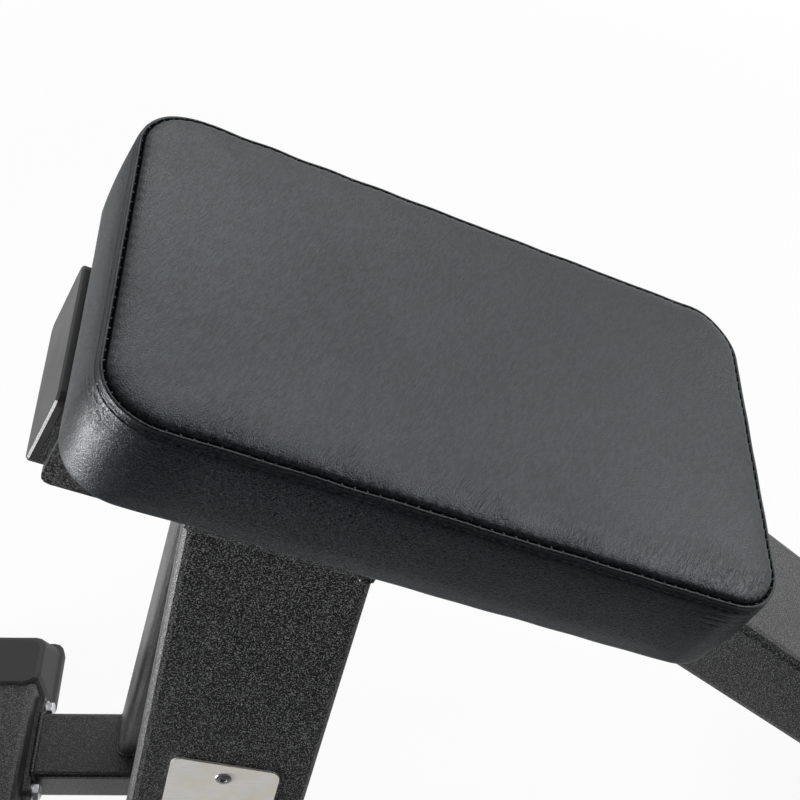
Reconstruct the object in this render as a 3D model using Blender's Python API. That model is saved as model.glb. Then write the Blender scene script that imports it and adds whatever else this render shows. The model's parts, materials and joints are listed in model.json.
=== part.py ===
"""Chest-supported T-bar row machine, plate loaded, as an assembly of separate solids.

Metres, +Z up, floor at Z = 0. +X points to the user's feet, so the weight sleeve is at -X,
and the user lies facing down with the head towards -X. Left and right are the user's own:
left is -Y and right is +Y. X is worked out from the middle of the chest pad and then shifted,
so that the origin lies under the middle of the whole machine.
"""
import math

import bmesh
import bpy
from mathutils import Matrix, Vector

# Clearance between pieces that touch on the real machine
GAP = 0.0003

# Chest pad
PAD_HEIGHT = 0.880
PAD_TILT = math.radians(26.5)
PAD_LENGTH = 0.464
PAD_WIDTH = 0.267
PAD_THICKNESS = 0.079
PAD_CORNER_RADIUS = 0.040
PAD_CROWN = 0.007
PAD_SEAM_DEPTH = 0.0012
PAD_BASE_ROUND = 0.006
PAD_SIDE_DRAW = 0.0015
PAD_INNER_CORNER = 0.004
BOARD_THICKNESS = 0.012
BOARD_RIM = 0.007

# Bracket between the pad's board and the spine
BRACKET_PLATE = 0.006
BRACKET_FRONT = 0.2235
BRACKET_REAR = 0.200
BRACKET_DROP = 0.0777
BRACKET_CORNER = 0.008
BRACKET_BOLT_SPACING = 0.240
BRACKET_BOLT_DROP = 0.040

# Spine: a wide flat tube under the pad, mitred to one that slopes to the rear foot
SPINE_WIDTH = 0.120
SPINE_DEPTH = 0.072
SPINE_WALL = 0.003
SPINE_RADIUS = 0.007
SPINE_FRONT = 0.229
SPINE_BEND = 0.235
LOWER_TILT = math.radians(46.3)
CAP_THICKNESS = 0.006
CAP_PLUG = 0.020
CAP_PLUG_WALL = 0.003
CAP_EDGE = 0.0015

# Legs of the A-frame
LEG_WIDTH = 0.139
LEG_THICKNESS = 0.050
LEG_WALL = 0.003
LEG_RADIUS = 0.008
LEG_LEAN = math.radians(13.442)
LEG_BASE_MARGIN = 0.0018
LEG_TOP_HALF_SPREAD = 0.0605
LEG_TOP_FRONT = -0.2015
LEG_TOP_HEIGHT = 0.711
HEAD_PLATE = 0.010
HEAD_PLATE_MARGIN = 0.001
HEAD_PLATE_CORNER = 0.004

# Base: cross feet front and rear, short rails under the legs, and a beam along the middle
FOOT_WIDTH = 0.120
FOOT_DEPTH = 0.068
FOOT_WALL = 0.003
FOOT_RADIUS = 0.008
FOOT_LENGTH = 0.540
FOOT_TOP = 0.080
FRONT_FOOT_X = -0.5165
RAIL_WIDTH = 0.080
RAIL_HEIGHT = 0.050
RAIL_WALL = 0.003
RAIL_RADIUS = 0.006
RAIL_TOP = 0.056
RAIL_REAR = -0.200
RAIL_CAP = 0.005
CROSS_TUBE_X = -0.290
FLANGE_PLATE = 0.008
FLANGE_WIDTH = 0.1235
FLANGE_CLEARANCE = 0.00075
FLANGE_BOLT_SPACING = 0.1018
FLANGE_BOLT_HEIGHT = 0.040
BOOT_WALL = 0.005
BOOT_GRIP = 0.046
BOOT_TOP_REACH = 0.011
BOOT_BASE_REACH = 0.048
BOOT_LIP = 0.010
BOOT_LIP_HEIGHT = 0.012
BOOT_CORNER = 0.012
BOOT_ROUND = 0.006
BOOT_DRAFT = 0.004

# Hexagon bolts
BOLT_RADIUS = 0.005
BOLT_HEAD_FLATS = 0.017
BOLT_HEAD_HEIGHT = 0.0065
WASHER_RADIUS = 0.0105
WASHER_THICKNESS = 0.002
BOLT_HOLE_PLAY = 0.0005
BOLT_PROUD = 0.005

# Badge plate on the left leg
BADGE_WIDTH = 0.0865
BADGE_HEIGHT = 0.120
BADGE_THICKNESS = 0.002
BADGE_RADIUS = 0.008
BADGE_TOP = 0.1855
BADGE_SHIFT = 0.0010
BADGE_SCREW_INSET = 0.0155
BADGE_SCREW_HEAD = 0.0050
BADGE_SINK_RADIUS = 0.0072
BADGE_SCREW_SHANK = 0.002
BADGE_SCREW_LENGTH = 0.008
BADGE_SCREW_SOCKET = 0.0022

# Lever and its pivot under the lower spine
PIVOT_SET_BACK = 0.0967
PIVOT_HEIGHT = 0.150
BEAM_SIZE = 0.060
BEAM_WALL = 0.003
BEAM_RADIUS = 0.006
BEAM_REAR = 0.048
BEAM_FRONT_X = -0.592
HUB_RADIUS = 0.024
HUB_WALL = 0.0045
HUB_OVERHANG = 0.009
BEARING_WIDTH = 0.014
BEARING_FLANGE = 0.002
BEARING_FLANGE_RADIUS = 0.0228
CROSS_CUT = 0.200
SHAFT_RADIUS = 0.010
SHAFT_PLAY = 0.0001
EAR_PLATE = 0.008
EAR_ROUND = 0.030
EAR_BASE = 0.115
EAR_SIDE_PLAY = 0.0006
SHAFT_WASHER_RADIUS = 0.016
SHAFT_WASHER = 0.003
SHAFT_BORE = 0.0045
SHAFT_TAPPED = 0.030
SHAFT_PROUD = 0.002
SHAFT_SCREW_LENGTH = 0.022
SHAFT_SCREW_HEAD = 0.0085
SHAFT_SCREW_HEIGHT = 0.010
SHAFT_SCREW_SOCKET = 0.0046
SHAFT_SCREW_EDGE = 0.001

# Upright, handles and weight sleeve at the lever's front end
UPRIGHT_X = -0.560
UPRIGHT_TOP = 0.326
UPRIGHT_VENT = 0.006
HANDLE_HEIGHT = 0.350
HANDLE_HALF = 0.300
HANDLE_RADIUS = 0.016
HANDLE_WALL = 0.0025
SADDLE_EDGE = 0.003
GRIP_RADIUS = 0.0195
GRIP_LENGTH = 0.125
GRIP_COLLAR = 0.0225
GRIP_END = 0.004
GRIP_COLLAR_LENGTH = 0.005
GRIP_EDGE = 0.001
NEUTRAL_RADIUS = 0.015
NEUTRAL_OFFSET = 0.110
NEUTRAL_REACH = 0.112
NEUTRAL_GRIP_LENGTH = 0.090
SLEEVE_HEIGHT = 0.240
SLEEVE_RADIUS = 0.0245
SLEEVE_WALL = 0.004
SLEEVE_LENGTH = 0.300
SLEEVE_STOP_RADIUS = 0.050
SLEEVE_STOP = 0.010
SLEEVE_CAP = 0.005
SLEEVE_EDGE = 0.002

# Rest for the lever on the front foot
STAND_PLATE = 0.006
STAND_LENGTH = 0.070
STAND_WIDTH = 0.080
BUMPER_LENGTH = 0.050
BUMPER_WIDTH = 0.056
BUMPER_HEIGHT = 0.020
BUMPER_EDGE = 0.004
STAND_EDGE = 0.002

# Footrest beside the base beam
TREAD_BEHIND_PIVOT = 0.060
TREAD_HEIGHT = 0.130
TREAD_TILT = math.radians(15.0)
TREAD_LENGTH = 0.290
TREAD_WIDTH = 0.186
TREAD_OFFSET = 0.168
TREAD_PLATE = 0.004
TREAD_FLANGE = 0.018
TREAD_RADIUS = 0.010
MAT_THICKNESS = 0.006
MAT_MARGIN = 0.010
MAT_RIBS = 9
MAT_GROOVE_WIDTH = 0.005
MAT_GROOVE_DEPTH = 0.003
REST_PLATE = 0.005
REST_LENGTH = 0.160
REST_BASE = 0.028
REST_END = 0.245

# Counts of faces round a curve
ROUND = 28
SMALL_ROUND = 16
CORNER_STEPS = 3

# Places worked out from the sizes above
RAIL_OFFSET = FOOT_LENGTH / 2 - BOOT_GRIP - FLANGE_CLEARANCE - FLANGE_WIDTH / 2
LEG_SPREAD = RAIL_OFFSET + RAIL_WIDTH / 2 - LEG_BASE_MARGIN - LEG_TOP_HALF_SPREAD
LEG_SPLAY = LEG_SPREAD / (LEG_TOP_HEIGHT - RAIL_TOP)
SPINE_TOP_N = -(PAD_THICKNESS + BRACKET_PLATE + 2 * GAP)
SPINE_MID_N = SPINE_TOP_N - SPINE_DEPTH / 2
SPINE_BASE_N = SPINE_TOP_N - SPINE_DEPTH
MOUNT_TOP_N = SPINE_BASE_N - GAP
LEG_CUT_N = MOUNT_TOP_N - 2 * HEAD_PLATE - 2 * GAP
SLEEVE_FRONT = (BEAM_FRONT_X - GAP - SLEEVE_STOP - SLEEVE_LENGTH - GAP - SLEEVE_CAP)
HUB_HALF = BEAM_SIZE / 2 + HUB_OVERHANG
EAR_INNER = HUB_HALF + GAP + BEARING_FLANGE + EAR_SIDE_PLAY
SIDES = (("left", -1.0), ("right", 1.0))

PAD_FRAME = Matrix.Translation((0, 0, PAD_HEIGHT)) @ Matrix.Rotation(PAD_TILT, 4, "Y")
BEND_POINT = PAD_FRAME @ Vector((SPINE_BEND, 0, SPINE_TOP_N))
LOWER_FRAME = Matrix.Translation(BEND_POINT) @ Matrix.Rotation(LOWER_TILT, 4, "Y")


def lower_spine_x(height, depth_below_top):
    """X where a face of the lower spine, so far below its top face, reaches a height."""
    run = (BEND_POINT.z - height - depth_below_top * math.cos(LOWER_TILT)) / math.tan(LOWER_TILT)
    return BEND_POINT.x + run - depth_below_top * math.sin(LOWER_TILT)


REAR_FOOT_X = (lower_spine_x(FOOT_TOP, 0) + lower_spine_x(FOOT_TOP, SPINE_DEPTH)) / 2
REAR_REACH = REAR_FOOT_X + FOOT_WIDTH / 2 + BOOT_LIP
PIVOT_X = lower_spine_x(PIVOT_HEIGHT, SPINE_DEPTH) - PIVOT_SET_BACK
PIVOT = Vector((PIVOT_X, 0.0, PIVOT_HEIGHT))
TREAD_X = PIVOT_X + TREAD_BEHIND_PIVOT
MACHINE = Matrix.Translation((-(SLEEVE_FRONT + REAR_REACH) / 2, 0, 0))


def clear_scene():
    for item in list(bpy.data.objects):
        bpy.data.objects.remove(item, do_unlink=True)


clear_scene()
MODEL = bpy.data.collections.new("t_bar_row_machine")
CUTTERS = bpy.data.collections.new("cutters")
bpy.context.scene.collection.children.link(MODEL)
bpy.context.scene.collection.children.link(CUTTERS)


def material(name, colour, roughness, metallic=0.0):
    made = bpy.data.materials.new(name)
    made.use_nodes = True
    shader = made.node_tree.nodes["Principled BSDF"]
    shader.inputs["Base Color"].default_value = (*colour, 1.0)
    shader.inputs["Roughness"].default_value = roughness
    shader.inputs["Metallic"].default_value = metallic
    return made


POWDER_COAT = material("black_powder_coat", (0.045, 0.046, 0.046), 0.55)
VINYL = material("black_vinyl", (0.055, 0.060, 0.064), 0.5)
PLYWOOD = material("plywood", (0.42, 0.29, 0.17), 0.7)
RUBBER = material("black_rubber", (0.03, 0.03, 0.03), 0.8)
PLASTIC = material("black_plastic", (0.07, 0.07, 0.07), 0.45)
ZINC = material("zinc_plate", (0.65, 0.66, 0.68), 0.35, 1.0)
BRUSHED_STEEL = material("brushed_steel", (0.60, 0.58, 0.54), 0.35, 1.0)
CHROME = material("chrome", (0.75, 0.75, 0.76), 0.12, 1.0)
BEARING_STEEL = material("bearing_steel", (0.55, 0.55, 0.56), 0.25, 1.0)

LEVER_PIVOT = bpy.data.objects.new("lever_pivot_axis", None)
MODEL.objects.link(LEVER_PIVOT)
LEVER_PIVOT.matrix_world = MACHINE @ Matrix.Translation(PIVOT)


def finish_mesh(bm, name, smooth_angle=math.radians(40)):
    bmesh.ops.recalc_face_normals(bm, faces=bm.faces)
    mesh = bpy.data.meshes.new(name)
    bm.to_mesh(mesh)
    bm.free()
    mesh.shade_smooth()
    mesh.set_sharp_from_angle(angle=smooth_angle)
    return mesh


def add(name, mesh, place, finish, moving=False):
    """Adds a piece at a place given from the pad's middle; a moving one hangs on the pivot."""
    piece = bpy.data.objects.new(name, mesh)
    MODEL.objects.link(piece)
    piece.data.materials.append(finish)
    if moving:
        piece.parent = LEVER_PIVOT
        piece.matrix_local = Matrix.Translation(-PIVOT) @ place
    else:
        piece.matrix_world = MACHINE @ place
    return piece


def cut(piece, mesh, place, moving=False):
    """Takes a cutter's shape out of a piece."""
    cutter = bpy.data.objects.new(piece.name + "_cutter", mesh)
    CUTTERS.objects.link(cutter)
    cutter.hide_render = True
    cutter.display_type = "WIRE"
    if moving:
        cutter.parent = LEVER_PIVOT
        cutter.matrix_local = Matrix.Translation(-PIVOT) @ place
    else:
        cutter.matrix_world = MACHINE @ place
    step = piece.modifiers.new("cut", "BOOLEAN")
    step.operation = "DIFFERENCE"
    step.solver = "EXACT"
    step.object = cutter


def box_mesh(size, edge=0.0, steps=2):
    """A block about its middle, with all its edges rounded where edge is more than nothing."""
    bm = bmesh.new()
    bmesh.ops.create_cube(bm, size=1.0, matrix=Matrix.Diagonal((*size, 1.0)))
    if edge > 0:
        bmesh.ops.bevel(bm, geom=bm.edges[:], offset=edge, segments=steps, profile=0.5,
                        affect="EDGES")
    return finish_mesh(bm, "block")


def rod_mesh(radius, length, sides=ROUND, far_radius=None, edge=0.0):
    """A round bar along its own Z, from 0 to its length, or a cone."""
    far = radius if far_radius is None else far_radius
    bm = bmesh.new()
    bmesh.ops.create_cone(bm, cap_ends=True, segments=sides, radius1=radius, radius2=far,
                          depth=length, matrix=Matrix.Translation((0, 0, length / 2)))
    if edge > 0:
        rims = [line for line in bm.edges if len(line.link_faces) == 2
                and any(len(face.verts) > 4 for face in line.link_faces)]
        bmesh.ops.bevel(bm, geom=rims, offset=edge, segments=2, profile=0.5, affect="EDGES")
    return finish_mesh(bm, "rod")


def turned(profile, sides=ROUND):
    """A closed outline of (radius, height) points turned about Z."""
    bm = bmesh.new()
    points = [bm.verts.new((radius, 0, height)) for radius, height in profile]
    lines = [bm.edges.new((points[i], points[(i + 1) % len(points)])) for i in range(len(points))]
    bmesh.ops.spin(bm, geom=points + lines, cent=(0, 0, 0), axis=(0, 0, 1), angle=math.tau,
                   steps=sides, use_duplicate=False, use_merge=True)
    bmesh.ops.remove_doubles(bm, verts=bm.verts, dist=1e-6)
    return finish_mesh(bm, "turned")


def ring_mesh(outer, inner, low, high, sides=ROUND):
    return turned([(inner, low), (outer, low), (outer, high), (inner, high)], sides)


def arc(centre, radius, start, end, steps=CORNER_STEPS):
    """Points of an arc in a plane, from one angle to another."""
    turns = [start + (end - start) * i / steps for i in range(steps + 1)]
    return [(centre[0] + radius * math.cos(t), centre[1] + radius * math.sin(t)) for t in turns]


def rounded_rectangle(low, high, radius, steps=CORNER_STEPS):
    """Outline of a rectangle with round corners, anticlockwise from its right side."""
    (x0, y0), (x1, y1) = low, high
    quarter = math.pi / 2
    points = []
    for i, centre in enumerate(((x1 - radius, y1 - radius), (x0 + radius, y1 - radius),
                                (x0 + radius, y0 + radius), (x1 - radius, y0 + radius))):
        points += arc(centre, radius, i * quarter, (i + 1) * quarter, steps)
    return points


def plate_mesh(outline, thickness):
    """A flat outline in X and Y, made solid from Z = 0 up to its thickness."""
    bm = bmesh.new()
    face = bm.faces.new([bm.verts.new((x, y, 0)) for x, y in outline])
    raised = bmesh.ops.extrude_face_region(bm, geom=[face])
    top = [item for item in raised["geom"] if isinstance(item, bmesh.types.BMVert)]
    bmesh.ops.translate(bm, verts=top, vec=(0, 0, thickness))
    bmesh.ops.triangulate(bm, faces=[item for item in bm.faces if len(item.verts) > 4])
    return finish_mesh(bm, "plate")


def loft_mesh(rings, hollow=False):
    """A skin over rings of equal count. Its first and last ring are closed by flat faces, or
    joined to each other where the shape is hollow."""
    bm = bmesh.new()
    loops = [[bm.verts.new(point) for point in ring] for ring in rings]
    count = len(loops[0])
    if hollow:
        loops.append(loops[0])
    for low, high in zip(loops, loops[1:]):
        for i in range(count):
            j = (i + 1) % count
            bm.faces.new((low[i], low[j], high[j], high[i]))
    if not hollow:
        bm.faces.new(loops[0])
        bm.faces.new(loops[-1])
    bmesh.ops.triangulate(bm, faces=[item for item in bm.faces if len(item.verts) > 4])
    return finish_mesh(bm, "loft")


def box_tube_mesh(width, depth, wall, radius, start, end):
    """A hollow box section along local X, open at both ends.

    Width lies along Y and depth along Z. Each end is a plane, as a point and the direction
    that leaves the tube there, so that an end may be mitred: each point of the section runs
    along X until it meets the plane.
    """
    outer = section_outline(width, depth, radius)
    inner = section_outline(width - 2 * wall, depth - 2 * wall, radius - wall)

    def on_plane(outline, plane):
        point, normal = plane
        return [(point.x - ((y - point.y) * normal.y + (z - point.z) * normal.z) / normal.x, y, z)
                for y, z in outline]

    rings = [on_plane(outer, start), on_plane(outer, end), on_plane(inner, end), on_plane(inner, start)]
    return loft_mesh(rings, hollow=True)


def square_end(x, outwards):
    return Vector((x, 0, 0)), Vector((outwards, 0, 0))


def straight_tube(width, depth, wall, radius, x0, x1):
    return box_tube_mesh(width, depth, wall, radius, square_end(x0, -1), square_end(x1, 1))


def local_plane(frame, point, normal):
    """A plane given in the machine's axes, as the same plane in a piece's own axes."""
    back = frame.inverted()
    return back @ point, (back.to_3x3() @ normal).normalized()


def section_outline(width, depth, radius, steps=CORNER_STEPS):
    return rounded_rectangle((-width / 2, -depth / 2), (width / 2, depth / 2), radius, steps)


def along_x(place):
    """Turns a mesh that stands along Z so that it lies along X."""
    return place @ Matrix.Rotation(math.pi / 2, 4, "Y")


def along_y(place):
    """Turns a mesh that stands along Z so that it lies along +Y."""
    return place @ Matrix.Rotation(-math.pi / 2, 4, "X")


def upright_plate(place):
    """Stands a plate outline of X and Y up in the X and Z plane, its thickness along -Y."""
    return place @ Matrix.Rotation(math.pi / 2, 4, "X")


def move(x=0.0, y=0.0, z=0.0):
    return Matrix.Translation((x, y, z))


# Chest pad

def cushion_rings():
    """Rings of the cushion from the board's recess, round the base edge, up the sides to the
    seam and over the crown. Each ring is the pad's outline drawn in by so much."""
    recess_top = -PAD_THICKNESS + BOARD_THICKNESS + GAP
    steps = [(BOARD_RIM, recess_top), (BOARD_RIM, -PAD_THICKNESS)]
    for i in range(4):
        turn = math.pi / 2 * i / 3
        steps.append((PAD_BASE_ROUND * (1 - math.sin(turn)),
                      -PAD_THICKNESS + PAD_BASE_ROUND * (1 - math.cos(turn))))
    side = PAD_THICKNESS - PAD_BASE_ROUND
    for share in (0.3, 0.55, 0.8):
        steps.append((PAD_SIDE_DRAW * math.sin(math.pi * share),
                      -PAD_THICKNESS + PAD_BASE_ROUND + side * share))
    steps += [(0.0, -2.5 * PAD_SEAM_DEPTH), (PAD_SEAM_DEPTH, -PAD_SEAM_DEPTH),
              (2.5 * PAD_SEAM_DEPTH, -PAD_SEAM_DEPTH)]
    reach = PAD_CORNER_RADIUS - PAD_INNER_CORNER
    for i in range(1, 7):
        share = i / 6
        steps.append((2.5 * PAD_SEAM_DEPTH + (reach - 2.5 * PAD_SEAM_DEPTH) * share ** 1.6,
                      PAD_CROWN * math.sin(math.pi / 2 * share) * 0.8))
    rings = []
    for inset, height in steps:
        half = Vector((PAD_LENGTH / 2 - inset, PAD_WIDTH / 2 - inset))
        radius = max(PAD_CORNER_RADIUS - inset, PAD_INNER_CORNER)
        outline = rounded_rectangle(-half, half, radius, 6)
        rings.append([(x, y, height) for x, y in outline])
    return rings


def make_pad():
    add("pad_cushion", loft_mesh(cushion_rings()), PAD_FRAME, VINYL)
    half = Vector((PAD_LENGTH / 2 - BOARD_RIM - GAP, PAD_WIDTH / 2 - BOARD_RIM - GAP))
    outline = rounded_rectangle(-half, half, PAD_CORNER_RADIUS - BOARD_RIM - GAP, 6)
    add("pad_board", plate_mesh(outline, BOARD_THICKNESS), PAD_FRAME @ move(z=-PAD_THICKNESS), PLYWOOD)


def hex_bolt(name, place, shank, finish=ZINC, moving=False):
    """A hexagon bolt with its washer on Z = 0 of its place, and its shank going down."""
    shank_piece = turned([(0, -shank), (BOLT_RADIUS, -shank), (BOLT_RADIUS, 0), (WASHER_RADIUS, 0),
                          (WASHER_RADIUS, WASHER_THICKNESS), (0, WASHER_THICKNESS)], SMALL_ROUND)
    piece = add(name, shank_piece, place, finish, moving)
    head = rod_mesh(BOLT_HEAD_FLATS / math.sqrt(3), BOLT_HEAD_HEIGHT + WASHER_THICKNESS / 2, 6)
    join(piece, head, place @ move(z=WASHER_THICKNESS / 2), moving)
    return piece


def join(piece, mesh, place, moving=False):
    """Adds a shape to a piece, as one body with it."""
    cut(piece, mesh, place, moving)
    piece.modifiers[-1].operation = "UNION"


# Bracket that carries the pad on the spine

def make_bracket():
    length = BRACKET_FRONT + BRACKET_REAR
    outer_width = SPINE_WIDTH + 2 * GAP + 2 * BRACKET_PLATE
    middle_x = (BRACKET_REAR - BRACKET_FRONT) / 2
    height = BRACKET_PLATE + BRACKET_DROP
    outline = ([(-length / 2, 0.0), (-length / 2, -height + BRACKET_CORNER)]
               + arc((-length / 2 + BRACKET_CORNER, -height + BRACKET_CORNER), BRACKET_CORNER,
                     math.pi, 1.5 * math.pi)[1:]
               + arc((length / 2 - BRACKET_CORNER, -height + BRACKET_CORNER), BRACKET_CORNER,
                     1.5 * math.pi, 2 * math.pi)
               + [(length / 2, 0.0)])
    top = -PAD_THICKNESS - GAP
    place = PAD_FRAME @ move(middle_x, outer_width / 2, top)
    bracket = add("pad_bracket", plate_mesh(outline, outer_width), upright_plate(place), POWDER_COAT)
    inside = box_mesh((length * 1.2, SPINE_WIDTH + 2 * GAP, 2 * height))
    cut(bracket, inside, PAD_FRAME @ move(middle_x, 0, top - BRACKET_PLATE - height))
    for side, sign in SIDES:
        for end, step in (("front", -0.5), ("rear", 0.5)):
            x = middle_x + step * BRACKET_BOLT_SPACING
            place = (PAD_FRAME @ move(x, sign * (outer_width / 2 + GAP), SPINE_TOP_N - BRACKET_BOLT_DROP)
                     @ Matrix.Rotation(-sign * math.pi / 2, 4, "X"))
            shank = BRACKET_PLATE + SPINE_WALL + BOLT_PROUD
            hex_bolt("bracket_bolt_%s_%s" % (end, side), place, shank)
            hole = rod_mesh(BOLT_RADIUS + BOLT_HOLE_PLAY, 2 * shank, SMALL_ROUND)
            for holed in (bracket, bpy.data.objects["spine_upper"]):
                cut(holed, hole, place @ move(z=-1.5 * shank))


# Spine

def make_spine():
    place = PAD_FRAME @ move(z=SPINE_MID_N)
    bisector = (Vector((math.cos(PAD_TILT), 0, -math.sin(PAD_TILT)))
                + Vector((math.cos(LOWER_TILT), 0, -math.sin(LOWER_TILT)))).normalized()
    mitre = local_plane(place, BEND_POINT - bisector * GAP / 2, bisector)
    add("spine_upper", box_tube_mesh(SPINE_WIDTH, SPINE_DEPTH, SPINE_WALL, SPINE_RADIUS,
                                     square_end(-SPINE_FRONT, -1), mitre), place, POWDER_COAT)
    lower = LOWER_FRAME @ move(z=-SPINE_DEPTH / 2)
    mitre = local_plane(lower, BEND_POINT + bisector * GAP / 2, -bisector)
    foot_top = Vector((REAR_FOOT_X, 0, FOOT_TOP + GAP))
    base = local_plane(lower, foot_top, Vector((0, 0, -1)))
    add("spine_lower", box_tube_mesh(SPINE_WIDTH, SPINE_DEPTH, SPINE_WALL, SPINE_RADIUS, mitre, base),
        lower, POWDER_COAT)
    cap_place = PAD_FRAME @ move(-SPINE_FRONT - GAP, 0, SPINE_MID_N)
    tube_cap("spine_end_cap", cap_place @ Matrix.Rotation(math.pi, 4, "Z"), SPINE_WIDTH, SPINE_DEPTH,
             SPINE_WALL, SPINE_RADIUS)


def tube_cap(name, place, width, depth, wall, radius, moving=False, thickness=CAP_THICKNESS):
    """Moulded cap for a box tube: a plate with a hollow plug that goes into the tube along -X."""
    outer = section_outline(width, depth, radius)
    soft = section_outline(width - 2 * CAP_EDGE, depth - 2 * CAP_EDGE, radius - CAP_EDGE)
    rings = [[(0, x, y) for x, y in outer], [(thickness - CAP_EDGE, x, y) for x, y in outer],
             [(thickness, x, y) for x, y in soft]]
    cap = add(name, loft_mesh(rings), place, PLASTIC, moving)
    play = wall + GAP
    plug = straight_tube(width - 2 * play, depth - 2 * play, CAP_PLUG_WALL,
                         max(radius - play, CAP_PLUG_WALL * 1.3), -CAP_PLUG, thickness / 2)
    join(cap, plug, place, moving)


# A-frame

def leg_frame(sign):
    """Axes of a leg: X down the leg, Y across its width to the front, Z out of its outer face."""
    down = Vector((-math.tan(LEG_LEAN), sign * LEG_SPLAY, -1.0)).normalized()
    out = Vector((0, sign, LEG_SPLAY)).normalized()
    across = out.cross(down)
    spread = LEG_TOP_HALF_SPREAD
    corner = Vector((LEG_TOP_FRONT, sign * spread, LEG_TOP_HEIGHT))
    middle = corner - out * (LEG_THICKNESS / 2)
    rear = across if across.x > 0 else -across
    middle = middle + rear * (LEG_WIDTH / 2)
    turn = Matrix((down, across, out)).transposed().to_4x4()
    return Matrix.Translation(middle) @ turn


def make_legs():
    under_head = PAD_FRAME @ Vector((0, 0, LEG_CUT_N))
    spine_normal = PAD_FRAME.to_3x3() @ Vector((0, 0, 1))
    for side, sign in SIDES:
        frame = leg_frame(sign)
        top = local_plane(frame, under_head, spine_normal)
        axis_hit = (top[0].dot(top[1])) / top[1].x
        top = (Vector((axis_hit, 0, 0)), top[1])
        base_point, base_normal = local_plane(frame, Vector((0, 0, RAIL_TOP + GAP)), Vector((0, 0, -1)))
        base = (Vector((base_point.dot(base_normal) / base_normal.x, 0, 0)), base_normal)
        leg = add("leg_" + side, box_tube_mesh(LEG_WIDTH, LEG_THICKNESS, LEG_WALL, LEG_RADIUS, top, base),
                  frame, POWDER_COAT)
        other_half = LEG_THICKNESS
        cut(leg, box_mesh((PAD_HEIGHT, other_half, PAD_HEIGHT)),
            move(LEG_TOP_FRONT, sign * (GAP - other_half) / 2, LEG_TOP_HEIGHT))


def head_span():
    """Front and rear ends, along the spine, of the legs where they are cut under the head."""
    frame = leg_frame(1.0)
    back = PAD_FRAME.inverted()
    ends = []
    for side in (-0.5, 0.5):
        edge = back @ (frame @ Vector((0, side * LEG_WIDTH, LEG_THICKNESS / 2)))
        down = back.to_3x3() @ (frame.to_3x3() @ Vector((1, 0, 0)))
        ends.append(edge.x + down.x * (LEG_CUT_N - edge.z) / down.z)
    return min(ends), max(ends)


def make_head_plates():
    """Two plates between the spine and the legs: one under the spine, one over the legs."""
    front, rear = head_span()
    length = rear - front + 2 * HEAD_PLATE_MARGIN
    middle = (front + rear) / 2
    outline = rounded_rectangle((-length / 2, -SPINE_WIDTH / 2), (length / 2, SPINE_WIDTH / 2),
                                HEAD_PLATE_CORNER, 2)
    for level, name in enumerate(("spine_mount_plate", "leg_top_plate")):
        base = MOUNT_TOP_N - HEAD_PLATE - level * (HEAD_PLATE + GAP)
        add(name, plate_mesh(outline, HEAD_PLATE), PAD_FRAME @ move(middle, 0, base), POWDER_COAT)


def make_badge():
    """Blank plate on the left leg's outer face, held by two countersunk screws."""
    frame = leg_frame(-1.0)
    across_to_front = 1.0 if frame.to_3x3().col[1].x < 0 else -1.0
    face = frame @ move(BADGE_TOP + BADGE_HEIGHT / 2, -across_to_front * BADGE_SHIFT, LEG_THICKNESS / 2 + GAP)
    outline = section_outline(BADGE_HEIGHT, BADGE_WIDTH, BADGE_RADIUS, 5)
    badge = add("badge_plate", plate_mesh(outline, BADGE_THICKNESS), face, BRUSHED_STEEL)
    leg = bpy.data.objects["leg_left"]
    hole = rod_mesh(BADGE_SCREW_SHANK + BOLT_HOLE_PLAY, 2.5 * BADGE_SCREW_LENGTH, SMALL_ROUND)
    sink = rod_mesh(BADGE_SCREW_SHANK + BOLT_HOLE_PLAY, BADGE_THICKNESS, SMALL_ROUND,
                    far_radius=BADGE_SINK_RADIUS)
    for name, sign in (("top", -1.0), ("base", 1.0)):
        spot = face @ move(sign * (BADGE_HEIGHT / 2 - BADGE_SCREW_INSET))
        cut(badge, sink, spot @ move(z=GAP))
        deep = spot @ move(z=-1.25 * BADGE_SCREW_LENGTH)
        cut(badge, hole, deep)
        cut(leg, hole, deep)
        profile = [(0, -BADGE_SCREW_LENGTH), (BADGE_SCREW_SHANK, -BADGE_SCREW_LENGTH),
                   (BADGE_SCREW_SHANK, BADGE_THICKNESS * 0.15),
                   (BADGE_SCREW_HEAD, BADGE_THICKNESS * 0.95),
                   (BADGE_SCREW_HEAD * 0.8, BADGE_THICKNESS * 1.2),
                   (0, BADGE_THICKNESS * 1.25)]
        screw = add("badge_screw_" + name, turned(profile, SMALL_ROUND), spot, BRUSHED_STEEL)
        cut(screw, rod_mesh(BADGE_SCREW_SOCKET, 2 * BADGE_THICKNESS, 6), spot @ move(z=BADGE_THICKNESS * 0.6))


# Base

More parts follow.
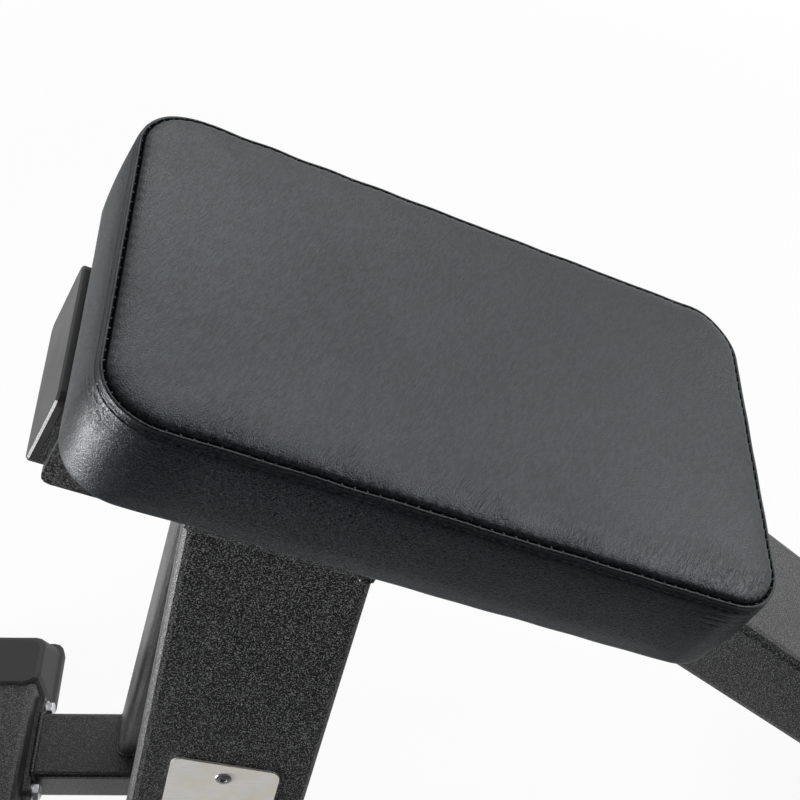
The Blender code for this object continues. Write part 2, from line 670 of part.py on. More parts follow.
def make_rails():
    """Short rails under the legs, each with a welded flange that is bolted to the front foot."""
    front = FRONT_FOOT_X + FOOT_WIDTH / 2 + GAP
    middle_z = RAIL_TOP - RAIL_HEIGHT / 2
    front_foot = bpy.data.objects["front_foot"]
    shank = FLANGE_PLATE + FOOT_WALL + BOLT_PROUD
    hole = rod_mesh(BOLT_RADIUS + BOLT_HOLE_PLAY, 2 * shank, SMALL_ROUND)
    for side, sign in SIDES:
        y = sign * RAIL_OFFSET
        tube = straight_tube(RAIL_WIDTH, RAIL_HEIGHT, RAIL_WALL, RAIL_RADIUS, front + FLANGE_PLATE / 2,
                             RAIL_REAR)
        rail = add("rail_" + side, tube, move(0, y, middle_z), POWDER_COAT)
        flange = plate_mesh(section_outline(RAIL_HEIGHT, FLANGE_WIDTH, RAIL_RADIUS), FLANGE_PLATE)
        join(rail, flange, along_x(move(front, y, middle_z)))
        tube_cap("rail_cap_" + side, move(RAIL_REAR + GAP, y, middle_z), RAIL_WIDTH, RAIL_HEIGHT, RAIL_WALL,
                 RAIL_RADIUS, thickness=RAIL_CAP)
        for spot, step in (("inner", -0.5), ("outer", 0.5)):
            place = along_x(move(front + FLANGE_PLATE + GAP, y + sign * step * FLANGE_BOLT_SPACING,
                                 FLANGE_BOLT_HEIGHT))
            hex_bolt("rail_bolt_%s_%s" % (spot, side), place, shank)
            for holed in (rail, front_foot):
                cut(holed, hole, place @ move(z=-1.5 * shank))


def make_base_beam():
    """Cross tube between the rails, and the beam that runs from it to the rear foot."""
    middle_z = RAIL_TOP - RAIL_HEIGHT / 2
    reach = RAIL_OFFSET - RAIL_WIDTH / 2 - GAP
    tube = straight_tube(RAIL_WIDTH, RAIL_HEIGHT, RAIL_WALL, RAIL_RADIUS, -reach, reach)
    add("leg_cross_tube", tube, move(CROSS_TUBE_X, 0, middle_z) @ Matrix.Rotation(math.pi / 2, 4, "Z"),
        POWDER_COAT)
    beam = straight_tube(RAIL_WIDTH, RAIL_HEIGHT, RAIL_WALL, RAIL_RADIUS,
                         CROSS_TUBE_X + RAIL_WIDTH / 2 + GAP, REAR_FOOT_X - FOOT_WIDTH / 2 - GAP)
    add("base_beam", beam, move(0, 0, middle_z), POWDER_COAT)


def make_feet():
    for name, x in (("front", FRONT_FOOT_X), ("rear", REAR_FOOT_X)):
        tube = straight_tube(FOOT_WIDTH, FOOT_DEPTH, FOOT_WALL, FOOT_RADIUS,
                             -FOOT_LENGTH / 2, FOOT_LENGTH / 2)
        place = move(x, 0, FOOT_TOP - FOOT_DEPTH / 2) @ Matrix.Rotation(math.pi / 2, 4, "Z")
        add(name + "_foot", tube, place, POWDER_COAT)
        for side, sign in SIDES:
            make_boot("foot_boot_%s_%s" % (name, side), x, sign)


def make_boot(name, x, sign):
    """Rubber boot on a foot's end: a wide lip on the floor, and an end wall that leans in."""
    lip = FOOT_WIDTH / 2 + BOOT_LIP
    wall = FOOT_WIDTH / 2 + BOOT_WALL
    top = FOOT_TOP + BOOT_WALL
    start = FOOT_LENGTH / 2 - BOOT_GRIP
    nose = FOOT_LENGTH / 2 + BOOT_BASE_REACH
    end_wall = FOOT_LENGTH / 2 + BOOT_TOP_REACH
    levels = ((0.0, lip, nose), (BOOT_LIP_HEIGHT, lip, nose),
              (BOOT_LIP_HEIGHT + BOOT_ROUND / 2, wall + BOOT_DRAFT / 2, nose - BOOT_ROUND),
              (top - BOOT_ROUND, wall, end_wall + BOOT_DRAFT),
              (top - BOOT_ROUND / 3, wall - BOOT_ROUND / 3, end_wall + BOOT_DRAFT / 4),
              (top, wall - BOOT_ROUND * 0.8, end_wall - BOOT_ROUND / 2))
    rings = []
    for height, reach, end in levels:
        outline = rounded_rectangle((-reach, start), (reach, end), BOOT_CORNER, 3)
        rings.append([(px, sign * py, height) for px, py in outline])
    boot = add(name, loft_mesh(rings), move(x), RUBBER)
    reach = FOOT_LENGTH / 2 + GAP
    pocket = plate_mesh(section_outline(FOOT_WIDTH + 2 * GAP, FOOT_DEPTH + 2 * GAP, FOOT_RADIUS + GAP), reach)
    cut(boot, pocket, along_y(move(x, min(0.0, sign * reach), FOOT_TOP - FOOT_DEPTH / 2)))


# Lever pivot under the lower spine

def make_ears():
    """Two plates under the lower spine, round at the shaft and widening to the spine."""
    back = LOWER_FRAME.inverted() @ PIVOT
    seat = -SPINE_DEPTH - GAP
    centre = (back.x, back.z)
    corners = ((back.x + EAR_BASE / 2, seat), (back.x - EAR_BASE / 2, seat))
    turns = []
    for corner, bend in zip(corners, (1.0, -1.0)):
        dx, dz = corner[0] - centre[0], corner[1] - centre[1]
        turns.append(math.atan2(dz, dx) - bend * math.acos(EAR_ROUND / math.hypot(dx, dz)))
    outline = [corners[0], corners[1]] + arc(centre, EAR_ROUND, turns[1], turns[0] + math.tau, 16)
    for side, sign in SIDES:
        edge = EAR_INNER + EAR_PLATE if sign > 0 else -EAR_INNER
        place = upright_plate(LOWER_FRAME @ move(y=edge))
        ear = add("pivot_ear_" + side, plate_mesh(outline, EAR_PLATE), place, POWDER_COAT)
        hole = rod_mesh(SHAFT_RADIUS + SHAFT_PLAY, CROSS_CUT)
        cut(ear, hole, along_y(Matrix.Translation(PIVOT) @ move(y=-CROSS_CUT / 2)))


def make_shaft():
    """Ground shaft between the ears, tapped at both ends for a screw with a wide washer."""
    half = EAR_INNER + EAR_PLATE + SHAFT_PROUD
    tapped = half - SHAFT_TAPPED
    profile = [(0, -tapped), (SHAFT_BORE, -tapped), (SHAFT_BORE, -half), (SHAFT_RADIUS, -half),
               (SHAFT_RADIUS, half), (SHAFT_BORE, half), (SHAFT_BORE, tapped), (0, tapped)]
    add("pivot_shaft", turned(profile), along_y(Matrix.Translation(PIVOT)), BEARING_STEEL)
    shank = SHAFT_BORE - BOLT_HOLE_PLAY
    top = SHAFT_WASHER + SHAFT_SCREW_HEIGHT
    for side, sign in SIDES:
        place = Matrix.Translation(PIVOT) @ move(y=sign * (half + GAP))
        place = place @ Matrix.Rotation(-sign * math.pi / 2, 4, "X")
        profile = [(0, -SHAFT_SCREW_LENGTH), (shank, -SHAFT_SCREW_LENGTH), (shank, 0),
                   (SHAFT_WASHER_RADIUS, 0), (SHAFT_WASHER_RADIUS, SHAFT_WASHER),
                   (SHAFT_SCREW_HEAD, SHAFT_WASHER), (SHAFT_SCREW_HEAD, top - SHAFT_SCREW_EDGE),
                   (SHAFT_SCREW_HEAD - SHAFT_SCREW_EDGE, top), (0, top)]
        screw = add("shaft_screw_" + side, turned(profile), place, ZINC)
        socket = rod_mesh(SHAFT_SCREW_SOCKET, SHAFT_SCREW_HEIGHT, 6)
        cut(screw, socket, place @ move(z=top - 0.6 * SHAFT_SCREW_HEIGHT))


def make_lever():
    at_pivot = Matrix.Translation(PIVOT)
    beam_place = move(0, 0, PIVOT_HEIGHT)
    beam = add("lever_beam", straight_tube(BEAM_SIZE, BEAM_SIZE, BEAM_WALL, BEAM_RADIUS, BEAM_FRONT_X,
                                           PIVOT_X + BEAM_REAR), beam_place, POWDER_COAT, moving=True)
    bore = rod_mesh(HUB_RADIUS + GAP, CROSS_CUT)
    cut(beam, bore, along_y(at_pivot @ move(y=-CROSS_CUT / 2)), moving=True)
    cut(beam, upright_weld_hole(), move(UPRIGHT_X, 0, PIVOT_HEIGHT + BEAM_SIZE / 2), moving=True)
    hub_inner = HUB_RADIUS - HUB_WALL
    add("pivot_hub", ring_mesh(HUB_RADIUS, hub_inner, -HUB_HALF, HUB_HALF), along_y(at_pivot),
        POWDER_COAT, moving=True)
    for side, sign in SIDES:
        place = at_pivot @ move(y=sign * (HUB_HALF + GAP)) @ Matrix.Rotation(-sign * math.pi / 2, 4, "X")
        bore = SHAFT_RADIUS + SHAFT_PLAY
        profile = [(bore, -BEARING_WIDTH), (hub_inner - GAP, -BEARING_WIDTH), (hub_inner - GAP, 0),
                   (BEARING_FLANGE_RADIUS, 0), (BEARING_FLANGE_RADIUS, BEARING_FLANGE),
                   (bore, BEARING_FLANGE)]
        add("pivot_bearing_" + side, turned(profile), place, BEARING_STEEL, moving=True)
    for end, x, turn in (("rear", PIVOT_X + BEAM_REAR + GAP, 0.0), ("front", BEAM_FRONT_X - GAP, math.pi)):
        tube_cap("beam_cap_" + end, move(x, 0, PIVOT_HEIGHT) @ Matrix.Rotation(turn, 4, "Z"),
                 BEAM_SIZE, BEAM_SIZE, BEAM_WALL, BEAM_RADIUS, moving=True)


def upright_weld_hole():
    """Vent between the beam and the upright, as the welder leaves it."""
    return rod_mesh(UPRIGHT_VENT, BEAM_SIZE / 3, SMALL_ROUND)


def make_upright():
    base = PIVOT_HEIGHT + BEAM_SIZE / 2 + GAP
    place = move(UPRIGHT_X, 0, 0) @ Matrix.Rotation(-math.pi / 2, 4, "Y")
    upright = straight_tube(BEAM_SIZE, BEAM_SIZE, BEAM_WALL, BEAM_RADIUS, base, UPRIGHT_TOP)
    add("lever_upright", upright, place, POWDER_COAT, moving=True)


def make_handles():
    """Cross bar on a saddle that closes the upright, with two short bars for a neutral grip."""
    middle = move(UPRIGHT_X, 0, HANDLE_HEIGHT)
    bar = add("handle_bar", rod_mesh(HANDLE_RADIUS, 2 * HANDLE_HALF), along_y(middle @ move(y=-HANDLE_HALF)),
              POWDER_COAT, moving=True)
    low, high = UPRIGHT_TOP + GAP, HANDLE_HEIGHT - HANDLE_RADIUS / 4
    saddle = box_mesh((BEAM_SIZE, BEAM_SIZE, high - low), SADDLE_EDGE)
    join(bar, saddle, move(UPRIGHT_X, 0, (low + high) / 2), moving=True)
    stub = rod_mesh(NEUTRAL_RADIUS, NEUTRAL_REACH)
    for side, sign in SIDES:
        join(bar, stub, along_x(middle @ move(y=sign * NEUTRAL_OFFSET)), moving=True)
    bore = HANDLE_RADIUS - HANDLE_WALL
    past = HANDLE_RADIUS
    long_bore = rod_mesh(bore, 2 * (HANDLE_HALF + past))
    cut(bar, long_bore, along_y(middle @ move(y=-HANDLE_HALF - past)), moving=True)
    stub_bore = rod_mesh(NEUTRAL_RADIUS - HANDLE_WALL, NEUTRAL_REACH + past)
    for side, sign in SIDES:
        y = sign * NEUTRAL_OFFSET
        cut(bar, stub_bore, along_x(middle @ move(y=y)), moving=True)
        place = middle @ move(y=sign * (HANDLE_HALF + GAP)) @ Matrix.Rotation(-sign * math.pi / 2, 4, "X")
        add("wide_grip_" + side, grip_mesh(GRIP_LENGTH, HANDLE_RADIUS), place, RUBBER, moving=True)
        add("neutral_grip_" + side, grip_mesh(NEUTRAL_GRIP_LENGTH, NEUTRAL_RADIUS),
            along_x(middle @ move(NEUTRAL_REACH + GAP, y)), RUBBER, moving=True)


def grip_mesh(length, bar_radius):
    """Rubber sleeve closed over the bar's end, which lies at Z = 0, with a collar at each end."""
    inner = bar_radius + GAP
    slope = GRIP_COLLAR - GRIP_RADIUS
    profile = [(0, 0), (inner, 0), (inner, -length), (GRIP_COLLAR - GRIP_EDGE, -length),
               (GRIP_COLLAR, -length + GRIP_EDGE), (GRIP_COLLAR, -length + GRIP_COLLAR_LENGTH),
               (GRIP_RADIUS, -length + GRIP_COLLAR_LENGTH + slope), (GRIP_RADIUS, -2 * slope),
               (GRIP_COLLAR, -slope), (GRIP_COLLAR, GRIP_END - GRIP_EDGE),
               (GRIP_COLLAR - GRIP_EDGE, GRIP_END), (0, GRIP_END)]
    return turned(profile, 24)


def make_sleeve():
    """Chromed sleeve for weight plates, with the stop that they lean on, and its end cap."""
    front = UPRIGHT_X - BEAM_SIZE / 2 - GAP
    place = move(front, 0, SLEEVE_HEIGHT) @ Matrix.Rotation(-math.pi / 2, 4, "Y")
    bore = SLEEVE_RADIUS - SLEEVE_WALL
    stop = SLEEVE_STOP + (front - (BEAM_FRONT_X - GAP))
    end = stop + SLEEVE_LENGTH
    profile = [(bore, 0), (SLEEVE_STOP_RADIUS, 0), (SLEEVE_STOP_RADIUS, stop - SLEEVE_EDGE),
               (SLEEVE_STOP_RADIUS - SLEEVE_EDGE, stop), (SLEEVE_RADIUS, stop), (SLEEVE_RADIUS, end),
               (bore, end)]
    add("weight_sleeve", turned(profile), place, CHROME, moving=True)
    plug = bore - GAP
    profile = [(0, -CAP_PLUG), (plug, -CAP_PLUG), (plug, 0), (SLEEVE_RADIUS, 0),
               (SLEEVE_RADIUS, SLEEVE_CAP - CAP_EDGE), (SLEEVE_RADIUS - CAP_EDGE, SLEEVE_CAP),
               (0, SLEEVE_CAP)]
    add("sleeve_end_cap", turned(profile), place @ move(z=end + GAP), PLASTIC, moving=True)


def make_stand():
    """Folded seat on the front foot, with a rubber block that the lever rests on."""
    beam_base = PIVOT_HEIGHT - BEAM_SIZE / 2
    bumper_base = beam_base - GAP - BUMPER_HEIGHT
    top = bumper_base - GAP
    base = FOOT_TOP + GAP
    height = top - base
    stand = add("lever_stand", box_mesh((STAND_LENGTH, STAND_WIDTH, height), STAND_EDGE, 1),
                move(FRONT_FOOT_X, 0, base + height / 2), POWDER_COAT)
    inside = box_mesh((STAND_LENGTH * 2, STAND_WIDTH - 2 * STAND_PLATE, height))
    cut(stand, inside, move(FRONT_FOOT_X, 0, base + height / 2 - STAND_PLATE))
    add("stand_bumper", box_mesh((BUMPER_LENGTH, BUMPER_WIDTH, BUMPER_HEIGHT), BUMPER_EDGE),
        move(FRONT_FOOT_X, 0, bumper_base + BUMPER_HEIGHT / 2), RUBBER)


# Footrest

def tread_frame(sign):
    return move(TREAD_X, sign * TREAD_OFFSET, TREAD_HEIGHT) @ Matrix.Rotation(-TREAD_TILT, 4, "Y")


def make_footrest():
    for side, sign in SIDES:
        frame = tread_frame(sign)
        half = Vector((TREAD_LENGTH / 2, TREAD_WIDTH / 2))
        outline = rounded_rectangle(-half, half, TREAD_RADIUS)
        tray = add("foot_plate_" + side, plate_mesh(outline, TREAD_FLANGE), frame @ move(z=-TREAD_FLANGE),
                   POWDER_COAT)
        inner = half - Vector((TREAD_PLATE, TREAD_PLATE))
        hollow = plate_mesh(rounded_rectangle(-inner, inner, TREAD_RADIUS - TREAD_PLATE), TREAD_FLANGE)
        cut(tray, hollow, frame @ move(z=-TREAD_FLANGE - TREAD_PLATE))
        add("foot_tread_" + side, tread_mat(), frame @ move(z=GAP), RUBBER)
        make_rest_bracket(side, sign)


def tread_mat():
    """Rubber mat with ribs across it, as one outline of ridges drawn out to the mat's width."""
    length = TREAD_LENGTH - 2 * MAT_MARGIN
    width = TREAD_WIDTH - 2 * MAT_MARGIN
    pitch = length / MAT_RIBS
    low, high = MAT_THICKNESS - MAT_GROOVE_DEPTH, MAT_THICKNESS
    outline = [(-length / 2, 0), (length / 2, 0), (length / 2, high)]
    for i in range(MAT_RIBS - 1):
        x = length / 2 - pitch * (i + 1)
        near, far = x + MAT_GROOVE_WIDTH / 2, x - MAT_GROOVE_WIDTH / 2
        outline += [(near, high), (near, low), (far, low), (far, high)]
    outline.append((-length / 2, high))
    mesh = plate_mesh(outline, width)
    mesh.transform(Matrix.Rotation(math.pi / 2, 4, "X"))
    mesh.transform(move(y=width / 2))
    return mesh


def make_rest_bracket(side, sign):
    """Folded channel on the base beam's side, its two cheeks cut to the foot plate's slope."""
    run = TREAD_PLATE + GAP
    x0, x1 = TREAD_X - REST_LENGTH / 2, TREAD_X + REST_LENGTH / 2
    middle = TREAD_HEIGHT - run / math.cos(TREAD_TILT)
    rise = REST_LENGTH / 2 * math.tan(TREAD_TILT)
    outline = [(x0, REST_BASE), (x1, REST_BASE), (x1, middle + rise), (x0, middle - rise)]
    start = RAIL_WIDTH / 2 + GAP
    bracket = add("footrest_bracket_" + side, plate_mesh(outline, REST_END - start),
                  upright_plate(move(y=REST_END if sign > 0 else -start)), POWDER_COAT)
    above = REST_END
    inside = box_mesh((REST_LENGTH - 2 * REST_PLATE, 3 * REST_END, above))
    cut(bracket, inside, move(TREAD_X, 0, REST_BASE + REST_PLATE + above / 2))
    step_end = TREAD_OFFSET - TREAD_WIDTH / 2 + TREAD_PLATE + 2 * GAP
    step = box_mesh((2 * REST_LENGTH, 2 * step_end, above))
    cut(bracket, step, move(TREAD_X, 0, RAIL_TOP + above / 2))


make_pad()
make_spine()
make_bracket()
make_legs()
make_head_plates()
make_badge()
make_feet()
make_rails()
make_base_beam()
make_ears()
make_shaft()
make_lever()
make_upright()
make_handles()
make_sleeve()
make_stand()
make_footrest()
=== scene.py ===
# %% [markdown]
# # T-bar row machine
# The machine is a chest pad on an A-frame, a lever with handles under it, and a footrest. Its solids
# come ready made, in metres, with +X to the user's feet, +Y to the user's right and +Z up. This file
# gives them their finishes and adds what solids are poor at: the sewn cushion, stitches, weld beads,
# grips with a raised pattern, and bolts with real threads and turned edges.

# %% Load the solids
import json
import math

import bpy
import numpy as np
from mathutils import Matrix, Vector, geometry


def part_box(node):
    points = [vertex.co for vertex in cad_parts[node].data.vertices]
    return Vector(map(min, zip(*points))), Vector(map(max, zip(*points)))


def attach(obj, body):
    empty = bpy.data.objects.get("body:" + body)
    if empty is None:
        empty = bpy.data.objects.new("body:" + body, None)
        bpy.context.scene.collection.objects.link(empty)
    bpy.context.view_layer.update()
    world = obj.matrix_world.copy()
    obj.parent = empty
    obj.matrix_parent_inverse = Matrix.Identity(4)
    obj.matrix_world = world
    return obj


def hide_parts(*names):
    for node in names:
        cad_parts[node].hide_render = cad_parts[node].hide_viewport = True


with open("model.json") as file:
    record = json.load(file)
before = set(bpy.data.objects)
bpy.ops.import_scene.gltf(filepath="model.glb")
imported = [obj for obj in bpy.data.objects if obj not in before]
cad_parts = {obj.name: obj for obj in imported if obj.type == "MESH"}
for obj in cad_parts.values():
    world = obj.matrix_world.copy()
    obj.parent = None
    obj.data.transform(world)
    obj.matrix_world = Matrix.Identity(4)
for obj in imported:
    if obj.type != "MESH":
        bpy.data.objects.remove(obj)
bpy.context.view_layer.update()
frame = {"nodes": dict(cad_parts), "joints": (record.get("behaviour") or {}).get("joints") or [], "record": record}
nodes = frame["nodes"]

# %% [markdown]
# ## Where the pad is
# Nearly every distance on the machine is measured from the middle of the pad's face. The lever's pivot
# is half a metre behind it, so the pivot in the record gives the pad's place along the floor.

# %% The pad's own axes
PIVOT_BEHIND_PAD = 0.500
PAD_HEIGHT = 0.880
PAD_TILT = math.radians(26.5)

pivot = Vector(frame["joints"][0]["pos_m"])
pad_middle = Vector((pivot.x - PIVOT_BEHIND_PAD, 0.0, PAD_HEIGHT))
pad_frame = Matrix.Translation(pad_middle) @ Matrix.Rotation(PAD_TILT, 4, "Y")
print("pad face middle:", [round(v, 4) for v in pad_middle])

# %% [markdown]
# ## Camera
# The picture looks down on the pad from the user's left. A lens of 70 mm on a 36 mm sensor gives the
# mild perspective of a product photo. The camera is placed from the pad, so both move together.

# %% Camera
CAMERA_FROM_PAD = Vector((-0.03605, -0.6722, 0.7425))
CAMERA_LEAN = math.radians(40.61)
CAMERA_TURN = math.radians(0.366)
LENS = 69.64
SENSOR = 36.0


def add_object(name, data):
    """Puts a new object with this mesh, lamp or camera into the scene."""
    made = bpy.data.objects.new(name, data)
    bpy.context.scene.collection.objects.link(made)
    return made


camera = add_object("camera", bpy.data.cameras.new("camera"))
camera.location = pad_middle + CAMERA_FROM_PAD
camera.rotation_euler = (CAMERA_LEAN, 0.0, CAMERA_TURN)
camera.data.lens = LENS
camera.data.sensor_width = SENSOR
bpy.context.scene.camera = camera
print("camera at:", [round(v, 3) for v in camera.location])

# %% [markdown]
# ## Light
# The machine stands on a white sweep that runs up behind it, and the studio in front of it is dark. So
# whatever faces the camera squarely reflects the dark side and looks deep black, and whatever leans back
# or to the left picks up a pale sheen. The world and the floor copy this: both get darker towards -Y for
# reflections, the floor also towards -X and the world also for soft light, and both are white where the
# camera looks straight at them.

# %% Node helpers
def add_node(tree, kind, inputs=None, **settings):
    """Adds a shader node, sets what is named, and links or fills its inputs."""
    made = tree.nodes.new("ShaderNode" + kind)
    for key, value in settings.items():
        setattr(made, key, value)
    for key, value in (inputs or {}).items():
        if isinstance(value, bpy.types.NodeSocket):
            tree.links.new(value, made.inputs[key])
        else:
            made.inputs[key].default_value = value
    return made


def arithmetic(tree, operation, first, *others):
    """Joins values one after another by the same operation."""
    for other in others:
        first = add_node(tree, "Math", {0: first, 1: other}, operation=operation).outputs[0]
    return first


def ranged(tree, value, low, high, to_low=0.0, to_high=1.0):
    """Maps a value from one range to another, with soft ends."""
    return add_node(tree, "MapRange", {"Value": value, "From Min": low, "From Max": high,
                                       "To Min": to_low, "To Max": to_high},
                    interpolation_type="SMOOTHSTEP").outputs[0]


def mixed(tree, share, first, second):
    return add_node(tree, "Mix", {0: share, 2: first, 3: second}).outputs[0]


def mirrored_rays(path):
    """1 for a glossy or transmission ray, else 0."""
    return arithmetic(path.id_data, "MAXIMUM", path.outputs["Is Glossy Ray"],
                      path.outputs["Is Transmission Ray"])


def new_finish(name, colour, roughness, metallic=0.0):
    made = bpy.data.materials.new(name)
    made.use_nodes = True
    shader = made.node_tree.nodes["Principled BSDF"]
    shader.inputs["Base Color"].default_value = (*colour, 1.0)
    shader.inputs["Roughness"].default_value = roughness
    shader.inputs["Metallic"].default_value = metallic
    return made, made.node_tree, shader


def own_place(tree):
    return add_node(tree, "TexCoord").outputs["Object"]


# %% World
SWEEP_AXIS = (0.0, 0.93, -0.37)
REFLECTED_FROM, REFLECTED_TO = -0.55, 0.42
REFLECTED_LOW, REFLECTED_HIGH = 0.07, 1.0
SOFT_REACH = 0.5
SOFT_LOW, SOFT_HIGH = 0.13, 0.50


def make_world():
    """A sky that brightens with the dot product of the ray's direction and the sweep's axis."""
    world = bpy.data.worlds.new("studio")
    world.use_nodes = True
    bpy.context.scene.world = world
    tree = world.node_tree
    sky = tree.nodes["Background"]
    sky.inputs["Color"].default_value = (1.0, 1.0, 1.0, 1.0)
    direction = add_node(tree, "TexCoord").outputs["Generated"]
    facing = add_node(tree, "VectorMath", {0: direction, 1: SWEEP_AXIS},
                      operation="DOT_PRODUCT").outputs["Value"]
    path = add_node(tree, "LightPath")
    reflected = ranged(tree, facing, REFLECTED_FROM, REFLECTED_TO, REFLECTED_LOW, REFLECTED_HIGH)
    soft = ranged(tree, facing, -SOFT_REACH, SOFT_REACH, SOFT_LOW, SOFT_HIGH)
    away = mixed(tree, mirrored_rays(path), soft, reflected)
    tree.links.new(mixed(tree, path.outputs["Is Camera Ray"], away, 1.0), sky.inputs["Strength"])


make_world()
bpy.context.scene.view_settings.view_transform = "Standard"
print("world reflects from", REFLECTED_LOW, "to", REFLECTED_HIGH)

# %% Lamps
# Each lamp: where it stands, what it points at, its width and height, and its watts.
LAMPS = {"back_box": ((0.9, 1.9, 2.6), (0.0, 0.1, 0.6), (2.2, 1.4), 36),
         "right_box": ((2.7, 0.9, 2.1), (0.1, 0.0, 0.6), (1.4, 1.2), 40),
         "left_box": ((-2.3, -0.60, 0.35), (-0.1, 0.0, 0.80), (1.2, 0.6), 98),
         "front_fill": ((0.4, -2.4, 1.5), (0.0, 0.0, 0.5), (1.6, 1.2), 40)}
UNREFLECTED = "front_fill"

for name, (stand, target, size, watts) in LAMPS.items():
    light = bpy.data.lights.new(name, "AREA")
    light.shape = "RECTANGLE"
    light.size, light.size_y = size
    light.energy = watts
    holder = add_object(name, light)
    holder.location = stand
    holder.rotation_euler = (Vector(target) - holder.location).to_track_quat("-Z", "Y").to_euler()
    holder.visible_glossy = name != UNREFLECTED
print("lamps:", ", ".join(LAMPS))

# %% Floor
FLOOR_HALF = 6.0
FLOOR_GREY = (0.35, 0.35, 0.35)
DARK_FRONT, WHITE_FROM = -0.72, 0.06
FRONT_LEVEL = 0.05
DIM_LEFT, FULL_FROM = -1.5, -0.40
LEFT_LEVEL = 0.34
CAMERA_LEVEL = 1.08
SHADOW_SHARE = 0.14
SHADOW_FROM, SHADOW_TO = 1.3, 3.2


def make_floor():
    """A plain sheet: white to the camera but for a soft shadow, and reflected darker in front and left."""
    made, tree, shader = new_finish("studio_floor", FLOOR_GREY, 0.9)
    where = own_place(tree)
    split = add_node(tree, "SeparateXYZ", {"Vector": where})
    front = ranged(tree, split.outputs["Y"], DARK_FRONT, WHITE_FROM, FRONT_LEVEL, 1.0)
    left = ranged(tree, split.outputs["X"], DIM_LEFT, FULL_FROM, LEFT_LEVEL, 1.0)
    path = add_node(tree, "LightPath")
    seen = path.outputs["Is Camera Ray"]
    strength = mixed(tree, seen, arithmetic(tree, "MULTIPLY", front, left), CAMERA_LEVEL)
    glow = add_node(tree, "Emission", {"Strength": strength})
    reach = add_node(tree, "VectorMath", {0: where}, operation="LENGTH").outputs["Value"]
    unshaded = ranged(tree, reach, SHADOW_FROM, SHADOW_TO, 1.0 - SHADOW_SHARE, 1.0)
    lit = arithmetic(tree, "MULTIPLY", seen, unshaded)
    share = arithmetic(tree, "MAXIMUM", lit, mirrored_rays(path))
    mix = add_node(tree, "MixShader", {0: share, 1: shader.outputs[0], 2: glow.outputs[0]})
    tree.links.new(mix.outputs[0], tree.nodes["Material Output"].inputs["Surface"])
    corners = [(FLOOR_HALF * x, FLOOR_HALF * y, 0) for x, y in ((-1, -1), (1, -1), (1, 1), (-1, 1))]
    mesh = bpy.data.meshes.new("floor")
    mesh.from_pydata(corners, [], [(0, 1, 2, 3)])
    mesh.materials.append(made)
    floor = add_object("floor", mesh)


make_floor()
print("floor:", 2 * FLOOR_HALF, "m wide")

# %% [markdown]
# ## Meshes from arrays
# Every new piece is worked out as an array of points on a grid: rows follow the piece, columns go round
# it. One helper numbers the grid's squares, another closes an end with a fan, and a third turns the
# arrays into a Blender object whose faces point outwards.

# %% Grid helpers
def full_turn(count):
    """Even angles once round, from nought."""
    return np.arange(count) / count * math.tau


def grid_squares(rows, columns):
    """Squares between the rows of a grid whose columns close on themselves."""
    row, column = np.meshgrid(np.arange(rows - 1), np.arange(columns), indexing="ij")
    beside = (column + 1) % columns
    squares = np.stack([row * columns + column, row * columns + beside,
                        (row + 1) * columns + beside, (row + 1) * columns + column], axis=-1)
    return squares.reshape(-1, 4)


def fan(ring, tip, flip=False):
    """Triangles from a ring of point numbers to one tip."""
    beside = np.roll(ring, -1)
    order = (beside, ring) if flip else (ring, beside)
    return np.stack([*order, np.full_like(ring, tip)], axis=-1)


def capped_grid(rows, columns):
    """Squares of a grid and a fan at each end, to two tips whose points come after the grid's."""
    ring = np.arange(columns)
    count = rows * columns
    return [grid_squares(rows, columns), fan(ring, count, flip=True), fan(ring + count - columns, count + 1)]


def new_mesh(name, points, faces):
    mesh = bpy.data.meshes.new(name)
    mesh.from_pydata(points.tolist(), [], [face for group in faces for face in group.tolist()])
    return mesh


def volume(points, faces):
    """Six times the volume inside the faces: each is fanned from its first corner."""
    total = 0.0
    for group in faces:
        corner = points[group]
        for k in range(1, group.shape[1] - 1):
            total += np.einsum("ij,ij->", corner[:, 0], np.cross(corner[:, k], corner[:, k + 1]))
    return total


def make_piece(name, points, faces, finish, body, smooth=40):
    """Makes a piece from points and groups of faces, closed and pointing out, riding on a body.

    Edges between faces that turn by more than smooth, in degrees, stay sharp.
    """
    points = np.asarray(points, float).reshape(-1, 3)
    if volume(points, faces) < 0:
        faces = [group[:, ::-1] for group in faces]
    mesh = new_mesh(name, points, faces)
    mesh.validate()
    mesh.shade_smooth()
    mesh.set_sharp_from_angle(angle=math.radians(smooth))
    mesh.materials.append(finish)
    piece = add_object(name, mesh)
    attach(piece, body)
    return piece


def placed(points, place):
    """The same points after a 4x4 place: turned, then moved."""
    matrix = np.array(place)
    return points @ matrix[:3, :3].T + matrix[:3, 3]


# %% [markdown]
# ## Finishes
# The materials come first, because every piece names one. Each is a Principled shader whose colour,
# roughness and bump read the object's own coordinates in metres, so a grain of one millimetre is a
# noise of scale 1000 and has the same size on every piece. A range below holds what a noise runs from
# and to, and then what these become, where that isn't nought and one.

# %% Material helpers
def noise(tree, where, scale, detail=3.0, roughness=0.5, distortion=0.0):
    return add_node(tree, "TexNoise", {"Vector": where, "Scale": scale, "Detail": detail,
                                       "Roughness": roughness, "Distortion": distortion}).outputs["Fac"]


def blend_colours(tree, share, first, second):
    """Mixes two colours, each given as numbers or as a socket."""
    made = add_node(tree, "Mix", data_type="RGBA")
    for index, value in ((0, share), (6, first), (7, second)):
        if isinstance(value, bpy.types.NodeSocket):
            tree.links.new(value, made.inputs[index])
        else:
            made.inputs[index].default_value = (*value, 1.0)
    return made.outputs[2]


